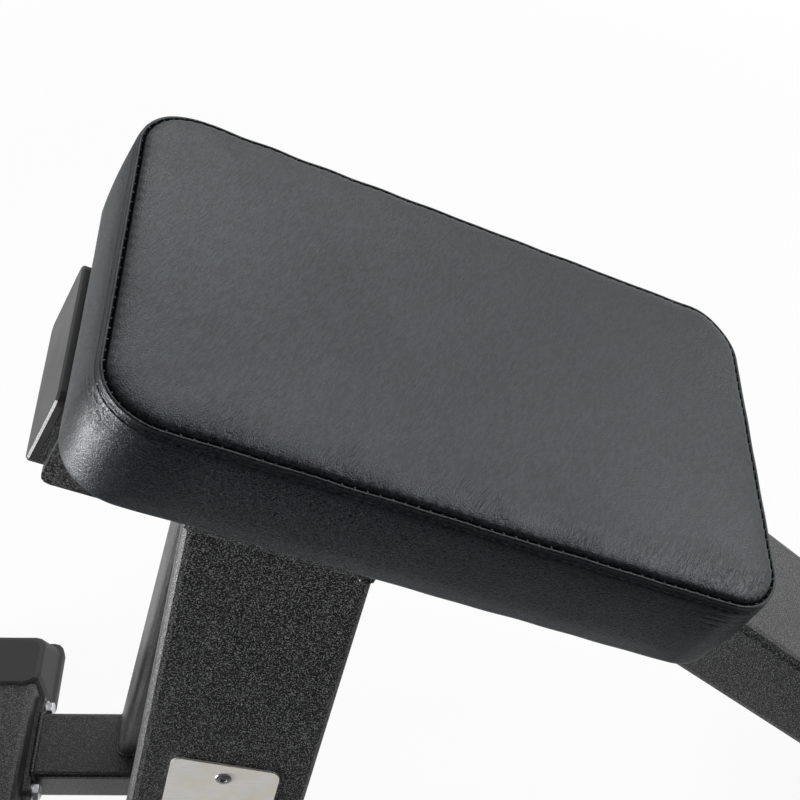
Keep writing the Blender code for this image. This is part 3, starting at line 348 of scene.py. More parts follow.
def dress(tree, shader, colour, gloss, heights):
    """Links the colour and the roughness, and chains a Bump node for each of the heights.

    Each height comes with its depth in metres and its strength, and a strength below 0 sinks.
    """
    tree.links.new(colour, shader.inputs["Base Color"])
    if gloss is not None:
        tree.links.new(gloss, shader.inputs["Roughness"])
    before = {}
    for height, depth, strength in heights:
        bump = add_node(tree, "Bump", {"Height": height, "Distance": depth, "Strength": abs(strength),
                                       **before}, invert=strength < 0)
        before = {"Normal": bump.outputs["Normal"]}
    tree.links.new(before["Normal"], shader.inputs["Normal"])


# %% [markdown]
# ### Powder coat
# The tubes are sprayed with a black powder that melts into a fine orange peel. Close up it is a field of
# bumps about a millimetre across whose tops catch the light. Two noises of that size make it: one raises
# the bumps, and the other picks those whose tops get a painted highlight, a paler colour for the light
# they catch. A slow noise changes the gloss from place to place.

# %% Powder coat
COAT_DARK = (0.0030, 0.0031, 0.0032)
COAT_PAINTED_GLINT = (0.096, 0.098, 0.099)
COAT_ROUGHNESS = 0.44
PEEL_SCALE, GLINT_SPECK_SCALE, CLOUD_SCALE = 950.0, 880.0, 7.0
PEEL_DEPTH, CLOUD_DEPTH = 0.0005, 0.0008
GLINT_SPECKS, GLINT_ON_TOPS = (0.52, 0.60), (0.38, 0.60, 0.2, 1.0)
CLOUD_GLOSS, PEEL_GLOSS = (0.3, 0.7, -0.05, 0.05), (0.3, 0.7, 0.05, -0.05)


def powder_coat():
    """A painted highlight, a paler colour, where both noises are high, and glossier on the bumps' tops."""
    made, tree, shader = new_finish("textured_powder_coat", COAT_DARK, COAT_ROUGHNESS)
    where = own_place(tree)
    peel = noise(tree, where, PEEL_SCALE, 1.0)
    glint_speck = ranged(tree, noise(tree, where, GLINT_SPECK_SCALE, 0.0), *GLINT_SPECKS)
    cloud = noise(tree, where, CLOUD_SCALE)
    # Painted highlight: the colour turns pale on the picked bump tops, standing in for the light they catch.
    painted_glints = arithmetic(tree, "MULTIPLY", glint_speck, ranged(tree, peel, *GLINT_ON_TOPS))
    gloss = arithmetic(tree, "ADD", ranged(tree, cloud, *CLOUD_GLOSS), COAT_ROUGHNESS,
                       ranged(tree, peel, *PEEL_GLOSS))
    shader.inputs["Specular IOR Level"].default_value = 0.46
    dress(tree, shader, blend_colours(tree, painted_glints, COAT_DARK, COAT_PAINTED_GLINT), gloss,
          [(peel, PEEL_DEPTH, 0.8), (cloud, CLOUD_DEPTH, 0.25)])
    return made


COAT = powder_coat()
print("made", COAT.name)

# %% [markdown]
# ### Vinyl
# The cover is a coated cloth pressed with a leather grain. Small cells of a Voronoi pattern are the
# pebbles, and a noise bends them; their colour is paler on top and darker at their edges, a painted
# highlight and painted shade of their relief. A noise drawn out into strokes varies the colour and gloss,
# as the grain runs one way. By the near seam the face creases, and the sides are creased crosswise all
# over: a crease is a line where a drawn-out noise crosses its middle value. Along the side's creases the
# colour is paler, a painted highlight. At the corners longer folds run along the seam. The sides read a
# map of their own, which follows them round the corners.

# %% The pad's sizes and drawn-out noises
PAD_LENGTH, PAD_WIDTH, PAD_THICKNESS = 0.464, 0.267, 0.079
PAD_CORNER = 0.040
NEAR_EDGE = -PAD_WIDTH / 2
SIDE_MAP = "around_the_side"
CREASE_WIDTH, DEEP_CREASE_WIDTH = 0.05, 0.025
# Each drawn-out noise: the direction in degrees, and its length and pitch in metres.
STROKES = (62.0, 0.0055, 0.0014)
FACE_LINES, FACE_FOLDS = (60.0, 0.016, 0.0022), (66.0, 0.030, 0.0060)
SIDE_FALLING, SIDE_RISING = (-47.0, 0.0068, 0.0019), (41.0, 0.0064, 0.0021)
CORNER_FOLDS = (-4.0, 0.045, 0.0052)


def pad_place(tree):
    """Object coordinates in the pad's own axes."""
    back = pad_frame.inverted()
    return add_node(tree, "Mapping", {"Vector": own_place(tree), "Location": back.translation,
                                      "Rotation": back.to_euler()}).outputs[0]


def drawn_noise(tree, where, drawn, detail=2.0):
    """Noise that is turned to a direction, then stretched along it and across it."""
    degrees, length, pitch = drawn
    turned = add_node(tree, "Mapping", {"Vector": where, "Rotation": (0.0, 0.0, -math.radians(degrees))})
    scaled = add_node(tree, "Mapping", {"Vector": turned.outputs[0],
                                        "Scale": (1.0 / length, 1.0 / pitch, 1.0 / pitch)})
    return noise(tree, scaled.outputs[0], 1.0, detail, 0.5, 0.3)


def valleys(tree, value, width=CREASE_WIDTH):
    """0 on the lines where a noise crosses its middle value, and 1 away from them."""
    off_middle = arithmetic(tree, "ABSOLUTE", arithmetic(tree, "SUBTRACT", value, 0.5), 0.0)
    return ranged(tree, off_middle, 0.0, width)


def one_less(tree, value):
    return arithmetic(tree, "SUBTRACT", 1.0, value)


# %% Vinyl
VINYL_DARK = (0.0005, 0.0008, 0.0010)
VINYL_LIGHT = (0.0120, 0.0148, 0.0168)
SHEEN_TINT = (0.90, 0.965, 1.0)
PEBBLE_SCALE, FINE_SCALE, BEND_SCALE = 1150.0, 1500.0, 420.0
PATCH_SCALE, SHEEN_SCALE = 16.0, 9.0
PEBBLE_BEND = 0.0007
PEBBLE_DEPTH, FINE_DEPTH = 0.00013, 0.00008
FACE_CREASE_DEPTH, SIDE_CREASE_DEPTH, CORNER_FOLD_DEPTH = 0.00024, 0.00022, 0.0003
CELL_ROUND, PEBBLE_PAINTED_LIGHT_AND_SHADE = (0.15, 0.75, 1.0, 0.0), (0.0, 1.0, -0.10, 0.25)
STROKE_SHADE, STROKE_GLOSS = (0.34, 0.66, 0.0, 0.75), (0.34, 0.66, 0.03, -0.03)
SHEEN_GLOSS = (0.25, 0.75, 0.35, 0.44)
CREASE_PAINTED_HIGHLIGHT = 0.5
NEAR_REACH, FACE_FROM = (NEAR_EDGE + 0.062, NEAR_EDGE + 0.012), (NEAR_EDGE + 0.005, NEAR_EDGE + 0.011)
PATCHES = (0.40, 0.60)
BELOW_SEAM, HIGH_ON_SIDE = (-0.007, -0.011), (-0.036, -0.012)
CALM_CORNER, FOLDED_CORNER = (0.62, 0.80, 1.0, 0.25), (0.62, 0.90)


def leather_pebbles(tree, where):
    """Small rounded cells whose places a noise bends."""
    bend = add_node(tree, "TexNoise", {"Vector": where, "Scale": BEND_SCALE, "Detail": 2.0})
    bent = add_node(tree, "VectorMath", {0: bend.outputs["Color"], 1: (PEBBLE_BEND,) * 3},
                    operation="MULTIPLY")
    moved = add_node(tree, "VectorMath", {0: where, 1: bent.outputs[0]}, operation="ADD")
    cells = add_node(tree, "TexVoronoi", {"Vector": moved.outputs[0], "Scale": PEBBLE_SCALE},
                     feature="SMOOTH_F1")
    return ranged(tree, cells.outputs["Distance"], *CELL_ROUND)


def face_creases(tree, flat, place):
    """Creases on the face that run off the near seam, in patches."""
    near = ranged(tree, place.outputs["Y"], *NEAR_REACH)
    on_face = ranged(tree, place.outputs["Y"], *FACE_FROM)
    patch = ranged(tree, noise(tree, flat, PATCH_SCALE, 2.0), *PATCHES)
    lines = valleys(tree, drawn_noise(tree, flat, FACE_LINES, 1.0))
    folds = valleys(tree, drawn_noise(tree, flat, FACE_FOLDS, 1.0), DEEP_CREASE_WIDTH)
    both = arithmetic(tree, "ADD", one_less(tree, lines), one_less(tree, folds))
    return arithmetic(tree, "MULTIPLY", both, near, on_face, patch)


def side_creases(tree, place):
    """Crossed creases all over the side, weaker at the corners, where folds gather along the seam."""
    side = add_node(tree, "UVMap", uv_map=SIDE_MAP).outputs[0]
    below_seam = ranged(tree, place.outputs["Z"], *BELOW_SEAM)
    high = ranged(tree, place.outputs["Z"], *HIGH_ON_SIDE)
    along, across = (arithmetic(tree, "ABSOLUTE", place.outputs[axis], 0.0) for axis in "XY")
    corner = arithmetic(tree, "MULTIPLY", along, across, 4.0 / (PAD_LENGTH * PAD_WIDTH))
    falling = valleys(tree, drawn_noise(tree, side, SIDE_FALLING, 1.0))
    rising = valleys(tree, drawn_noise(tree, side, SIDE_RISING, 1.0))
    crossed = arithmetic(tree, "MULTIPLY", one_less(tree, arithmetic(tree, "MULTIPLY", falling, rising)),
                         below_seam, ranged(tree, corner, *CALM_CORNER))
    folds = valleys(tree, drawn_noise(tree, side, CORNER_FOLDS))
    gathered = arithmetic(tree, "MULTIPLY", one_less(tree, folds), ranged(tree, corner, *FOLDED_CORNER),
                          high, below_seam)
    return crossed, gathered


def vinyl():
    """Strokes vary the colour along the grain. Paler pebble tops, darker pebble edges and paler side creases are
    painted highlight and shade; the grain and all creases are bumps.
    """
    made, tree, shader = new_finish("grained_vinyl", VINYL_DARK, 0.46)
    where = own_place(tree)
    pebble = leather_pebbles(tree, where)
    fine = noise(tree, where, FINE_SCALE, 2.0)
    sheen = noise(tree, where, SHEEN_SCALE, 4.0)
    flat = pad_place(tree)
    place = add_node(tree, "SeparateXYZ", {"Vector": flat})
    across_face = face_creases(tree, flat, place)
    crossed, gathered = side_creases(tree, place)
    strokes = drawn_noise(tree, flat, STROKES)
    # The pebbles' share paints highlight on their tops and shade at their edges, the creases' share paints a
    # highlight along the side's creases, and the strokes are grain.
    shade = arithmetic(tree, "ADD", ranged(tree, strokes, *STROKE_SHADE),
                       ranged(tree, pebble, *PEBBLE_PAINTED_LIGHT_AND_SHADE),
                       arithmetic(tree, "MULTIPLY", crossed, CREASE_PAINTED_HIGHLIGHT))
    gloss = arithmetic(tree, "ADD", ranged(tree, sheen, *SHEEN_GLOSS), ranged(tree, strokes, *STROKE_GLOSS))
    shader.inputs["Specular IOR Level"].default_value = 0.33
    shader.inputs["Specular Tint"].default_value = (*SHEEN_TINT, 1.0)
    dress(tree, shader, blend_colours(tree, shade, VINYL_DARK, VINYL_LIGHT), gloss,
          [(pebble, PEBBLE_DEPTH, 0.8), (fine, FINE_DEPTH, 0.5), (across_face, FACE_CREASE_DEPTH, -0.8),
           (crossed, SIDE_CREASE_DEPTH, -0.9), (gathered, CORNER_FOLD_DEPTH, -0.6)])
    return made


VINYL = vinyl()
print("made", VINYL.name)

# %% [markdown]
# ### The other finishes
# Rubber, moulded plastic, thread and the metals each get a short recipe of the same kind: two tones of
# one colour, a fine grain in the bump, and a slow noise in the gloss. Plywood has its grain drawn out
# along the board and the pale and dark bands of its plies.

# %% Rubber, plastic and thread
DUST_SCALE, DUSTED = 14.0, (0.45, 0.8, 0.0, 0.6)
DUST_GAIN, DUST_LIFT = 1.9, 0.012
GLOSS_PLAY = 0.06
PORE_DEPTH = 0.0002


def rubber(name, colour, roughness, grain):
    """Moulded or spun stuff with fine pores, and paler where dust lies on it."""
    made, tree, shader = new_finish(name, colour, roughness)
    where = own_place(tree)
    pores = noise(tree, where, grain, 3.0, 0.65)
    dust = noise(tree, where, DUST_SCALE, 4.0)
    pale = tuple(DUST_GAIN * part + DUST_LIFT for part in colour)
    gloss = ranged(tree, dust, 0.3, 0.7, roughness - GLOSS_PLAY, roughness + GLOSS_PLAY)
    dress(tree, shader, blend_colours(tree, ranged(tree, dust, *DUSTED), colour, pale), gloss,
          [(pores, PORE_DEPTH, 0.4)])
    return made


RUBBER = rubber("moulded_rubber", (0.012, 0.012, 0.0125), 0.62, 900.0)
PLASTIC = rubber("moulded_plastic", (0.020, 0.0205, 0.021), 0.40, 1600.0)
THREAD = rubber("sewing_thread", (0.014, 0.015, 0.016), 0.42, 4000.0)
# The ticks' thread is paler than the band's: a painted highlight for the glints it catches in the groove.
TICK_THREAD_PAINTED_GLINT = rubber("tick_thread_painted_glint", (0.075, 0.078, 0.082), 0.36, 4000.0)
print("made", ", ".join(made.name for made in (RUBBER, PLASTIC, THREAD, TICK_THREAD_PAINTED_GLINT)))


# %% Metals
SMEAR_SCALE, STAIN_SCALE = 30.0, 55.0
STAINED, LINE_GLOSS = (0.42, 0.62), (0.3, 0.7, -0.04, 0.06)


def metal(name, colour, roughness, streak, depth, tint=0.12, metallic=1.0, stain=None):
    """Metal whose grain is a noise stretched by the given factors of each axis, stained in patches."""
    made, tree, shader = new_finish(name, colour, roughness, metallic)
    where = own_place(tree)
    stretched = add_node(tree, "Mapping", {"Vector": where, "Scale": streak})
    lines = noise(tree, stretched.outputs[0], 1.0, 3.0, 0.6)
    smear = noise(tree, where, SMEAR_SCALE)
    grained = blend_colours(tree, lines, tuple(part * (1.0 - tint) for part in colour), colour)
    if stain:
        patches = noise(tree, where, STAIN_SCALE, 5.0, 0.55)
        grained = blend_colours(tree, ranged(tree, patches, *STAINED), grained, stain)
    gloss = arithmetic(tree, "ADD", ranged(tree, lines, *LINE_GLOSS),
                       ranged(tree, smear, 0.3, 0.7, roughness - 0.03, roughness + 0.05))
    dress(tree, shader, grained, gloss, [(lines, depth, 0.5)])
    return made


ZINC = metal("zinc_plate", (0.60, 0.61, 0.63), 0.34, (500.0, 500.0, 500.0), 0.00006, 0.25)
BRUSHED = metal("brushed_steel", (0.98, 0.965, 0.92), 0.38, (60.0, 900.0, 2600.0), 0.00007, 0.34, 0.55,
                stain=(0.80, 0.765, 0.68))
CHROME = metal("chrome", (0.76, 0.76, 0.77), 0.07, (120.0, 120.0, 120.0), 0.00001, 0.03)
GROUND = metal("ground_steel", (0.55, 0.55, 0.56), 0.24, (300.0, 2400.0, 300.0), 0.00003, 0.12)
print("made", ", ".join(made.name for made in (ZINC, BRUSHED, CHROME, GROUND)))

# %% Plywood
WOOD_DARK, WOOD_LIGHT = (0.22, 0.13, 0.065), (0.50, 0.36, 0.21)
WOOD_GRAIN = (0.0, 0.11, 0.007)
PLY = 0.0024


def plywood():
    """Grain along the board, and a height that runs to and fro within each ply for its bands."""
    made, tree, shader = new_finish("plywood", WOOD_LIGHT, 0.7)
    flat = pad_place(tree)
    grain = drawn_noise(tree, flat, WOOD_GRAIN, 5.0)
    height = add_node(tree, "SeparateXYZ", {"Vector": flat}).outputs["Z"]
    layer = arithmetic(tree, "PINGPONG", height, PLY)
    shade = arithmetic(tree, "ADD", ranged(tree, grain, 0.3, 0.7, 0.0, 0.7),
                       ranged(tree, layer, PLY / 4, PLY * 3 / 4, 0.0, 0.3))
    dress(tree, shader, blend_colours(tree, shade, WOOD_DARK, WOOD_LIGHT), None, [(grain, 0.0003, 0.4)])
    return made


PLYWOOD = plywood()
print("made", PLYWOOD.name)

# %% Finishes on the solids
FINISH_OF_SLOT = {"powder_coat": COAT, "vinyl": VINYL, "plywood": PLYWOOD, "rubber": RUBBER,
                  "plastic": PLASTIC, "zinc": ZINC, "badge_steel": BRUSHED, "chrome": CHROME,
                  "bearing_steel": GROUND}

for entry in frame["record"]["subparts"]:
    solid = nodes[entry["node"]]
    solid.data.materials.clear()
    solid.data.materials.append(FINISH_OF_SLOT[entry["material_slot"]])
print("finished", len(nodes), "solids")

# %% [markdown]
# ## The cushion
# The cover is sewn from a face panel and a band round the side. It is a profile carried round a rounded
# rectangle: the profile starts under the base, goes up the side, over the folded edge of the band, down
# into the seam and over the crowned face to its middle. A point on the outline keeps one direction, so a
# ring drawn in by any inset is the inner rectangle plus that direction times what is left of the corner.

# %% The outline
AROUND = 900
CORE = np.array([PAD_LENGTH / 2 - PAD_CORNER, PAD_WIDTH / 2 - PAD_CORNER])
QUARTER = PAD_CORNER * math.pi / 2
RUNS = np.array([2 * CORE[1], QUARTER, 2 * CORE[0], QUARTER] * 2)
STARTS = np.concatenate([[0.0], np.cumsum(RUNS)])
TOTAL_RUN = STARTS[-1]
CORE_CORNERS = np.array([(1, -1), (1, 1), (1, 1), (-1, 1), (-1, 1), (-1, -1), (-1, -1), (1, -1), (1, -1)])


def outline_at(run):
    """The inner rectangle's point and the outward direction for each length run round the pad.

    Each length falls on one of four straight sides or four quarter circles. On a side the point moves
    and the direction stays, and on a quarter circle the point stays and the direction turns.
    """
    part = np.searchsorted(STARTS, run, side="right") - 1
    share = (run - STARTS[part]) / RUNS[part]
    first, last = CORE_CORNERS[part] * CORE, CORE_CORNERS[part + 1] * CORE
    turn = (part // 2 + np.where(part % 2 == 1, share, 0.0)) * math.pi / 2
    return first + (last - first) * share[:, None], np.stack([np.cos(turn), np.sin(turn)], axis=-1)


def even_runs(count):
    return np.arange(count) / count * TOTAL_RUN


outline_run = even_runs(AROUND)
outline_base, outline_out = outline_at(outline_run)
print("length round the pad:", round(TOTAL_RUN, 3))

# %% The profile's sizes
# Insets are measured in from the outline, and heights from the face's edge, which is at nought.
CROWN, CROWN_REACH, CROWN_POWER = 0.0056, 0.031, 0.43
GROOVE_INSET, GROOVE_DEPTH, GROOVE_WIDTH = 0.0038, 0.0042, 0.0008
SEAM_TOP = -0.0008
LIP_MIDDLE, LIP_RADIUS = (0.0017, -0.0007), 0.0012
BAND_TOP = [(0.0002, -0.0040), (0.0004, -0.0031), (0.0006, -0.0022)]
GROOVE = [(0.0031, -0.0026), (0.0035, -0.0042), (0.0041, -0.0038)]
FACE_START = [0.0044, 0.0048, 0.0053, 0.0060, 0.0072]
STITCH_DROP, STITCH_DENT, DENT_HALF, DENT_SPAN = 0.0054, 0.0007, 0.0010, 0.0012
FOLDS_FROM, SIDE_TOP = -0.028, -STITCH_DROP - 0.0014
BASE = -PAD_THICKNESS
BASE_ROUND = 0.006
UNDER = [(0.007, BASE + 0.0123), (0.007, BASE + 0.0006)]
MIDDLE_RINGS = 16


# %% The profile
def crown_height(inset):
    """Height of the face: a quarter sine of a power of the way in from the seam, level past its reach."""
    share = np.clip((inset - GROOVE_INSET) / (CROWN_REACH - GROOVE_INSET), 0.0, 1.0)
    return CROWN * np.sin(math.pi / 2 * share ** CROWN_POWER)


def cushion_profile():
    """Inset and height of each ring, and its scale: 1 up to the crown's reach, then falling to the middle."""
    turn = np.linspace(0.0, math.pi / 2, 5)
    base = np.stack([BASE_ROUND * (1 - np.sin(turn)), BASE + BASE_ROUND * (1 - np.cos(turn))], axis=1)
    heights = np.concatenate([np.linspace(BASE + BASE_ROUND, FOLDS_FROM, 12)[1:],
                              np.linspace(FOLDS_FROM, SIDE_TOP, 25)[1:]])
    side = np.stack([np.zeros_like(heights), heights], axis=1)
    across = np.linspace(-DENT_HALF, DENT_HALF, 6)
    dent = np.stack([STITCH_DENT * np.cos(across / DENT_SPAN * math.pi / 2) ** 2,
                     across - STITCH_DROP], axis=1)
    turn = np.radians(np.linspace(-25.0, 170.0, 10))
    lip = np.stack([LIP_MIDDLE[0] - LIP_RADIUS * np.cos(turn),
                    LIP_MIDDLE[1] + LIP_RADIUS * np.sin(turn)], axis=1)
    insets = np.concatenate([FACE_START, np.linspace(0.0090, CROWN_REACH, 12)])
    drop = (GROOVE_DEPTH + SEAM_TOP) * np.exp(-((insets - GROOVE_INSET) / GROOVE_WIDTH) ** 1.4)
    face = np.stack([insets, crown_height(insets) + SEAM_TOP - drop], axis=1)
    middle = np.repeat(face[-1:], MIDDLE_RINGS, axis=0)
    rings = np.concatenate([UNDER, base, side, dent, BAND_TOP, lip, GROOVE, face, middle])
    inward = 1.0 - np.linspace(0.0, 1.0, MIDDLE_RINGS + 2)[1:-1]
    return rings, np.concatenate([np.ones(len(rings) - MIDDLE_RINGS), inward])


profile, inward_scale = cushion_profile()
ring_inset, ring_height = profile.T
whole = inward_scale == 1.0
on_side = whole & (ring_inset < 0.001)
print("rings in the cushion:", len(profile))

# %% The cushion's surface
INNER_CORNER = 0.003


def cushion_surface(profile, scale, base, out):
    """Points (ring, round, 3): the ring's inner rectangle plus what is left of the corner, scaled in."""
    left = np.maximum(PAD_CORNER - profile[:, 0], INNER_CORNER)
    flat = (base[None] + out[None] * left[:, None, None]) * scale[:, None, None]
    rise = np.broadcast_to(profile[:, 1, None, None], flat.shape[:2] + (1,))
    return np.concatenate([flat, rise], axis=-1)


def smooth_waves(run, count, seed, waves=14):
    """A closed line of slow waves of random phase, each a whole number of times round the pad."""
    rng = np.random.default_rng(seed)
    turns = rng.integers(3, count, size=waves)
    start = rng.uniform(0.0, math.tau, size=waves)
    angle = math.tau * turns[:, None] * run[None] / TOTAL_RUN + start[:, None]
    return np.sin(angle).sum(axis=0) / math.sqrt(waves)


surface = cushion_surface(profile, inward_scale, outline_base, outline_out)
print("cushion grid:", surface.shape)

# %% [markdown]
# ### Air in the cushion
# Foam under a tight cover makes the sides swell a little between their seams. A coarse copy of the
# surface is simulated as cloth with air pressure inside. The seam and the stapled base are pinned. The
# moves are carried over to the fine surface by interpolation between the rings and round the pad, and
# held under a soft cap, a hyperbolic tangent, so that the firm pad keeps its size. Only the band takes
# them: the face is stretched flat over the foam.

# %% Simulate the swelling
COARSE_AROUND = 200
COARSE_STEP = 3
SEAM_FROM, SEAM_INSET = -0.008, 0.005
SWELL_CAP = 0.0014
FRAMES = 18
AIR = {"use_pressure": True, "uniform_pressure_force": 3.0, "vertex_group_mass": "pins", "quality": 5,
       "tension_stiffness": 25.0, "compression_stiffness": 25.0, "bending_stiffness": 2.0}


def swell():
    """Simulates the coarse cushion and returns its kept rings and how far each point moved."""
    keep = np.unique(np.append(np.arange(0, len(profile), COARSE_STEP), len(profile) - 1))
    start = cushion_surface(profile[keep], inward_scale[keep], *outline_at(even_runs(COARSE_AROUND)))
    rows, columns = start.shape[:2]
    count = rows * columns
    points = np.concatenate([start.reshape(-1, 3), [start[0].mean(axis=0), start[-1].mean(axis=0)]])
    piece = add_object("swelling", new_mesh("swelling", points, capped_grid(rows, columns)))
    held = (ring_height < BASE + BASE_ROUND) & whole
    seam = (ring_height > SEAM_FROM) & (ring_inset < SEAM_INSET)
    pinned = (np.flatnonzero((held | seam)[keep])[:, None] * columns + np.arange(columns)).ravel()
    piece.vertex_groups.new(name="pins").add([*pinned.tolist(), count], 1.0, "REPLACE")
    cloth = piece.modifiers.new("air", "CLOTH")
    for key, value in AIR.items():
        setattr(cloth.settings, key, value)
    cloth.settings.effector_weights.gravity = 0.0
    for moment in range(1, FRAMES + 1):
        bpy.context.scene.frame_set(moment)
    shaped = piece.evaluated_get(bpy.context.evaluated_depsgraph_get()).to_mesh()
    ended = np.empty(len(shaped.vertices) * 3, np.float32)
    shaped.vertices.foreach_get("co", ended)
    bpy.data.objects.remove(piece, do_unlink=True)
    bpy.context.scene.frame_set(1)
    return keep, (ended.reshape(-1, 3) - points)[:count].reshape(rows, columns, 3)


def carried_over(keep, moved):
    """Moves of the coarse grid, interpolated over the rings and then round the pad."""
    around = np.arange(AROUND) / AROUND * COARSE_AROUND
    low = np.floor(around).astype(int)
    part = (around - low)[None, :, None]
    wide = moved[:, low % COARSE_AROUND] * (1 - part) + moved[:, (low + 1) % COARSE_AROUND] * part
    place = np.interp(np.arange(len(profile)), keep, np.arange(len(keep)))
    below = np.clip(np.floor(place).astype(int), 0, len(keep) - 2)
    share = (place - below)[:, None, None]
    return wide[below] * (1 - share) + wide[below + 1] * share


swelling = carried_over(*swell())
size = np.linalg.norm(swelling, axis=-1, keepdims=True)
print("largest free swelling in mm:", round(float(size.max() * 1000), 2))
swelling *= SWELL_CAP * np.tanh(size / SWELL_CAP) / np.maximum(size, 1e-9)
surface += swelling * on_side[:, None, None]

# %% [markdown]
# ### Puckers
# The thread pulls the face down a little at each stitch, which leaves small scallops along the seam, and
# it pinches the groove shut there. The scallops are a cosine along the outline that fades away from the
# groove. Slow waves on top keep the long edges from looking ruled. At the corners the band has too much
# cover for its turn, and it gathers in folds that run along the seam.

# %% Scallops and waves at the seam
STITCH_PITCH = 0.0082
STITCHES = round(TOTAL_RUN / STITCH_PITCH)
SCALLOP, SCALLOP_REACH, SCALLOPS_ABOVE = 0.00034, 0.0035, -0.006
PINCH, PINCH_REACH, PINCH_BELOW = 0.0006, 0.0006, -0.0018
WAVER, WAVER_REACH = 0.00030, 0.020


def fade(values, reach):
    """1 at nought, falling off as a bell."""
    return np.exp(-(values / reach) ** 2)


at_stitches = np.cos(outline_run * STITCHES / TOTAL_RUN * math.tau)
from_groove = ring_inset - GROOVE_INSET
scallop = fade(from_groove, SCALLOP_REACH) * ((from_groove > 0) & (ring_height > SCALLOPS_ABOVE))
waver = fade(from_groove, WAVER_REACH) * whole
pinch = fade(from_groove, PINCH_REACH) * (whole & (ring_height < PINCH_BELOW))
surface[..., 2] += (PINCH * pinch - SCALLOP * scallop)[:, None] * at_stitches
surface[..., 2] += WAVER * waver[:, None] * smooth_waves(outline_run, 40, seed=7)
print("stitches round the pad:", STITCHES)

# %% The belly, the stitches' dents and the corners' folds
BELLY, BELLY_WAVER = 0.0016, 0.0002
DENT_PINCH, DENT_REACH = 0.00022, 0.0008
FOLD_DEPTH, FOLD_PITCH, FOLD_REACH = 0.0009, 0.0054, 0.034
FOLD_SHARE, FOLD_WAVER, FOLD_LEAN = 0.55, 0.45, 0.30
FOLDS_TO = -0.008
FOLDS_RISE, FOLDS_CLOSE = 0.012, 0.002


def corner_folds(run, height):
    """Depth of folds: a cosine of the height to the eighth power, strongest in the corners' middles."""
    middles = STARTS[1::2] + QUARTER / 2
    away = np.abs(run[None] - middles[:, None])
    near = fade(np.minimum(away, TOTAL_RUN - away), FOLD_REACH).max(axis=0)
    near = near * np.clip(FOLD_SHARE + FOLD_WAVER * smooth_waves(run, 70, seed=23), 0.0, 1.0)
    lean = FOLD_LEAN * smooth_waves(run, 40, seed=17)
    ridges = np.cos(math.pi * (height[:, None] / FOLD_PITCH + lean[None])) ** 8
    rising = np.clip((height - FOLDS_FROM) / FOLDS_RISE, 0.0, 1.0)
    closing = np.clip((FOLDS_TO - height) / FOLDS_CLOSE, 0.0, 1.0)
    return FOLD_DEPTH * ridges * near[None] * (rising * closing)[:, None]


belly = np.sin(math.pi * np.clip(-ring_height / PAD_THICKNESS, 0.0, 1.0)) * on_side
in_dent = fade(ring_height + STITCH_DROP, DENT_REACH) * whole
bulge = BELLY + BELLY_WAVER * smooth_waves(outline_run, 26, seed=11)
folds = corner_folds(outline_run, ring_height) * on_side[:, None]
draw_in = DENT_PINCH * in_dent[:, None] * at_stitches - belly[:, None] * bulge + folds
surface[..., :2] -= draw_in[..., None] * outline_out[None]
print("deepest fold in mm:", round(float(folds.max() * 1000), 2))


# %% Make the cushion
def side_map(mesh, rings, columns):
    """A map with the length round the pad across and the ring's height up, in metres."""
    layer = mesh.uv_layers.new(name=SIDE_MAP)
    corner = np.empty(len(mesh.loops), np.int32)
    mesh.loops.foreach_get("vertex_index", corner)
    ring, column = np.minimum(corner // columns, rings - 1), corner % columns
    start = np.empty(len(mesh.polygons), np.int32)
    mesh.polygons.foreach_get("loop_start", start)
    owner = np.repeat(np.arange(len(start)), np.diff(np.append(start, len(corner))))
    span = np.maximum.reduceat(column, start) - np.minimum.reduceat(column, start)
    wraps = (span > columns / 2)[owner] & (column < columns / 2)
    across = (column + np.where(wraps, columns, 0)) / columns * TOTAL_RUN
    layer.data.foreach_set("uv", np.stack([across, ring_height[ring]], axis=1).astype(np.float32).ravel())


def make_cushion():
    rings, columns = surface.shape[:2]
    tips = [surface[0].mean(axis=0), surface[-1].mean(axis=0)]
    points = placed(np.concatenate([surface.reshape(-1, 3), tips]), pad_frame)
    cushion = make_piece("cushion_cover", points, capped_grid(rings, columns), VINYL, "frame", 75)
    side_map(cushion.data, rings, columns)
    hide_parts("pad_cushion")
    return cushion


cushion = make_cushion()
print("cushion faces:", len(cushion.data.polygons))

# %% [markdown]
# ### Stitches
# Two rows of thread hold the cover. One crosses the seam's groove as short slanted ticks, and one lies
# along the band under the lip as dashes whose ends dive into the cover. Each is a bent capsule: circles
# along a short path that get narrower at both ends, where a face closes them. All capsules of a row are
# one array.

# %% Capsules
THREAD_SIDES = 7
THREAD_RINGS = 6
THREAD_TAPER = 0.96


def capsules(middles, along, over, half_length, radius, dive):
    """Bent capsules: a path runs half a length each way and dives under by the square of the way out.

    Rings stand on the path, and their radius is the root of 1 less a fourth power of the way out.
    Middles, along and over are arrays with a row for each capsule, and over points out of the surface.
    """
    part = np.linspace(-1.0, 1.0, THREAD_RINGS)
    beside = np.cross(along, over)
    path = (middles[:, None] + part[None, :, None] * half_length * along[:, None]
            - (part ** 2)[None, :, None] * dive * over[:, None])
    width = radius * np.sqrt(1.0 - (THREAD_TAPER * part) ** 4)
    turn = full_turn(THREAD_SIDES)
    ring = beside[:, None] * np.cos(turn)[None, :, None] + over[:, None] * np.sin(turn)[None, :, None]
    return path[:, :, None] + width[None, :, None, None] * ring[:, None]


def capsule_faces(count):
    """Faces of every capsule: its squares, and each end ring as one face."""
    each = THREAD_RINGS * THREAD_SIDES
    start = (np.arange(count) * each)[:, None, None]
    squares = grid_squares(THREAD_RINGS, THREAD_SIDES)[None] + start
    first = np.arange(THREAD_SIDES)
    ends = np.stack([first[::-1], first + each - THREAD_SIDES])[None] + start
    return [squares.reshape(-1, 4), ends.reshape(-1, THREAD_SIDES)]


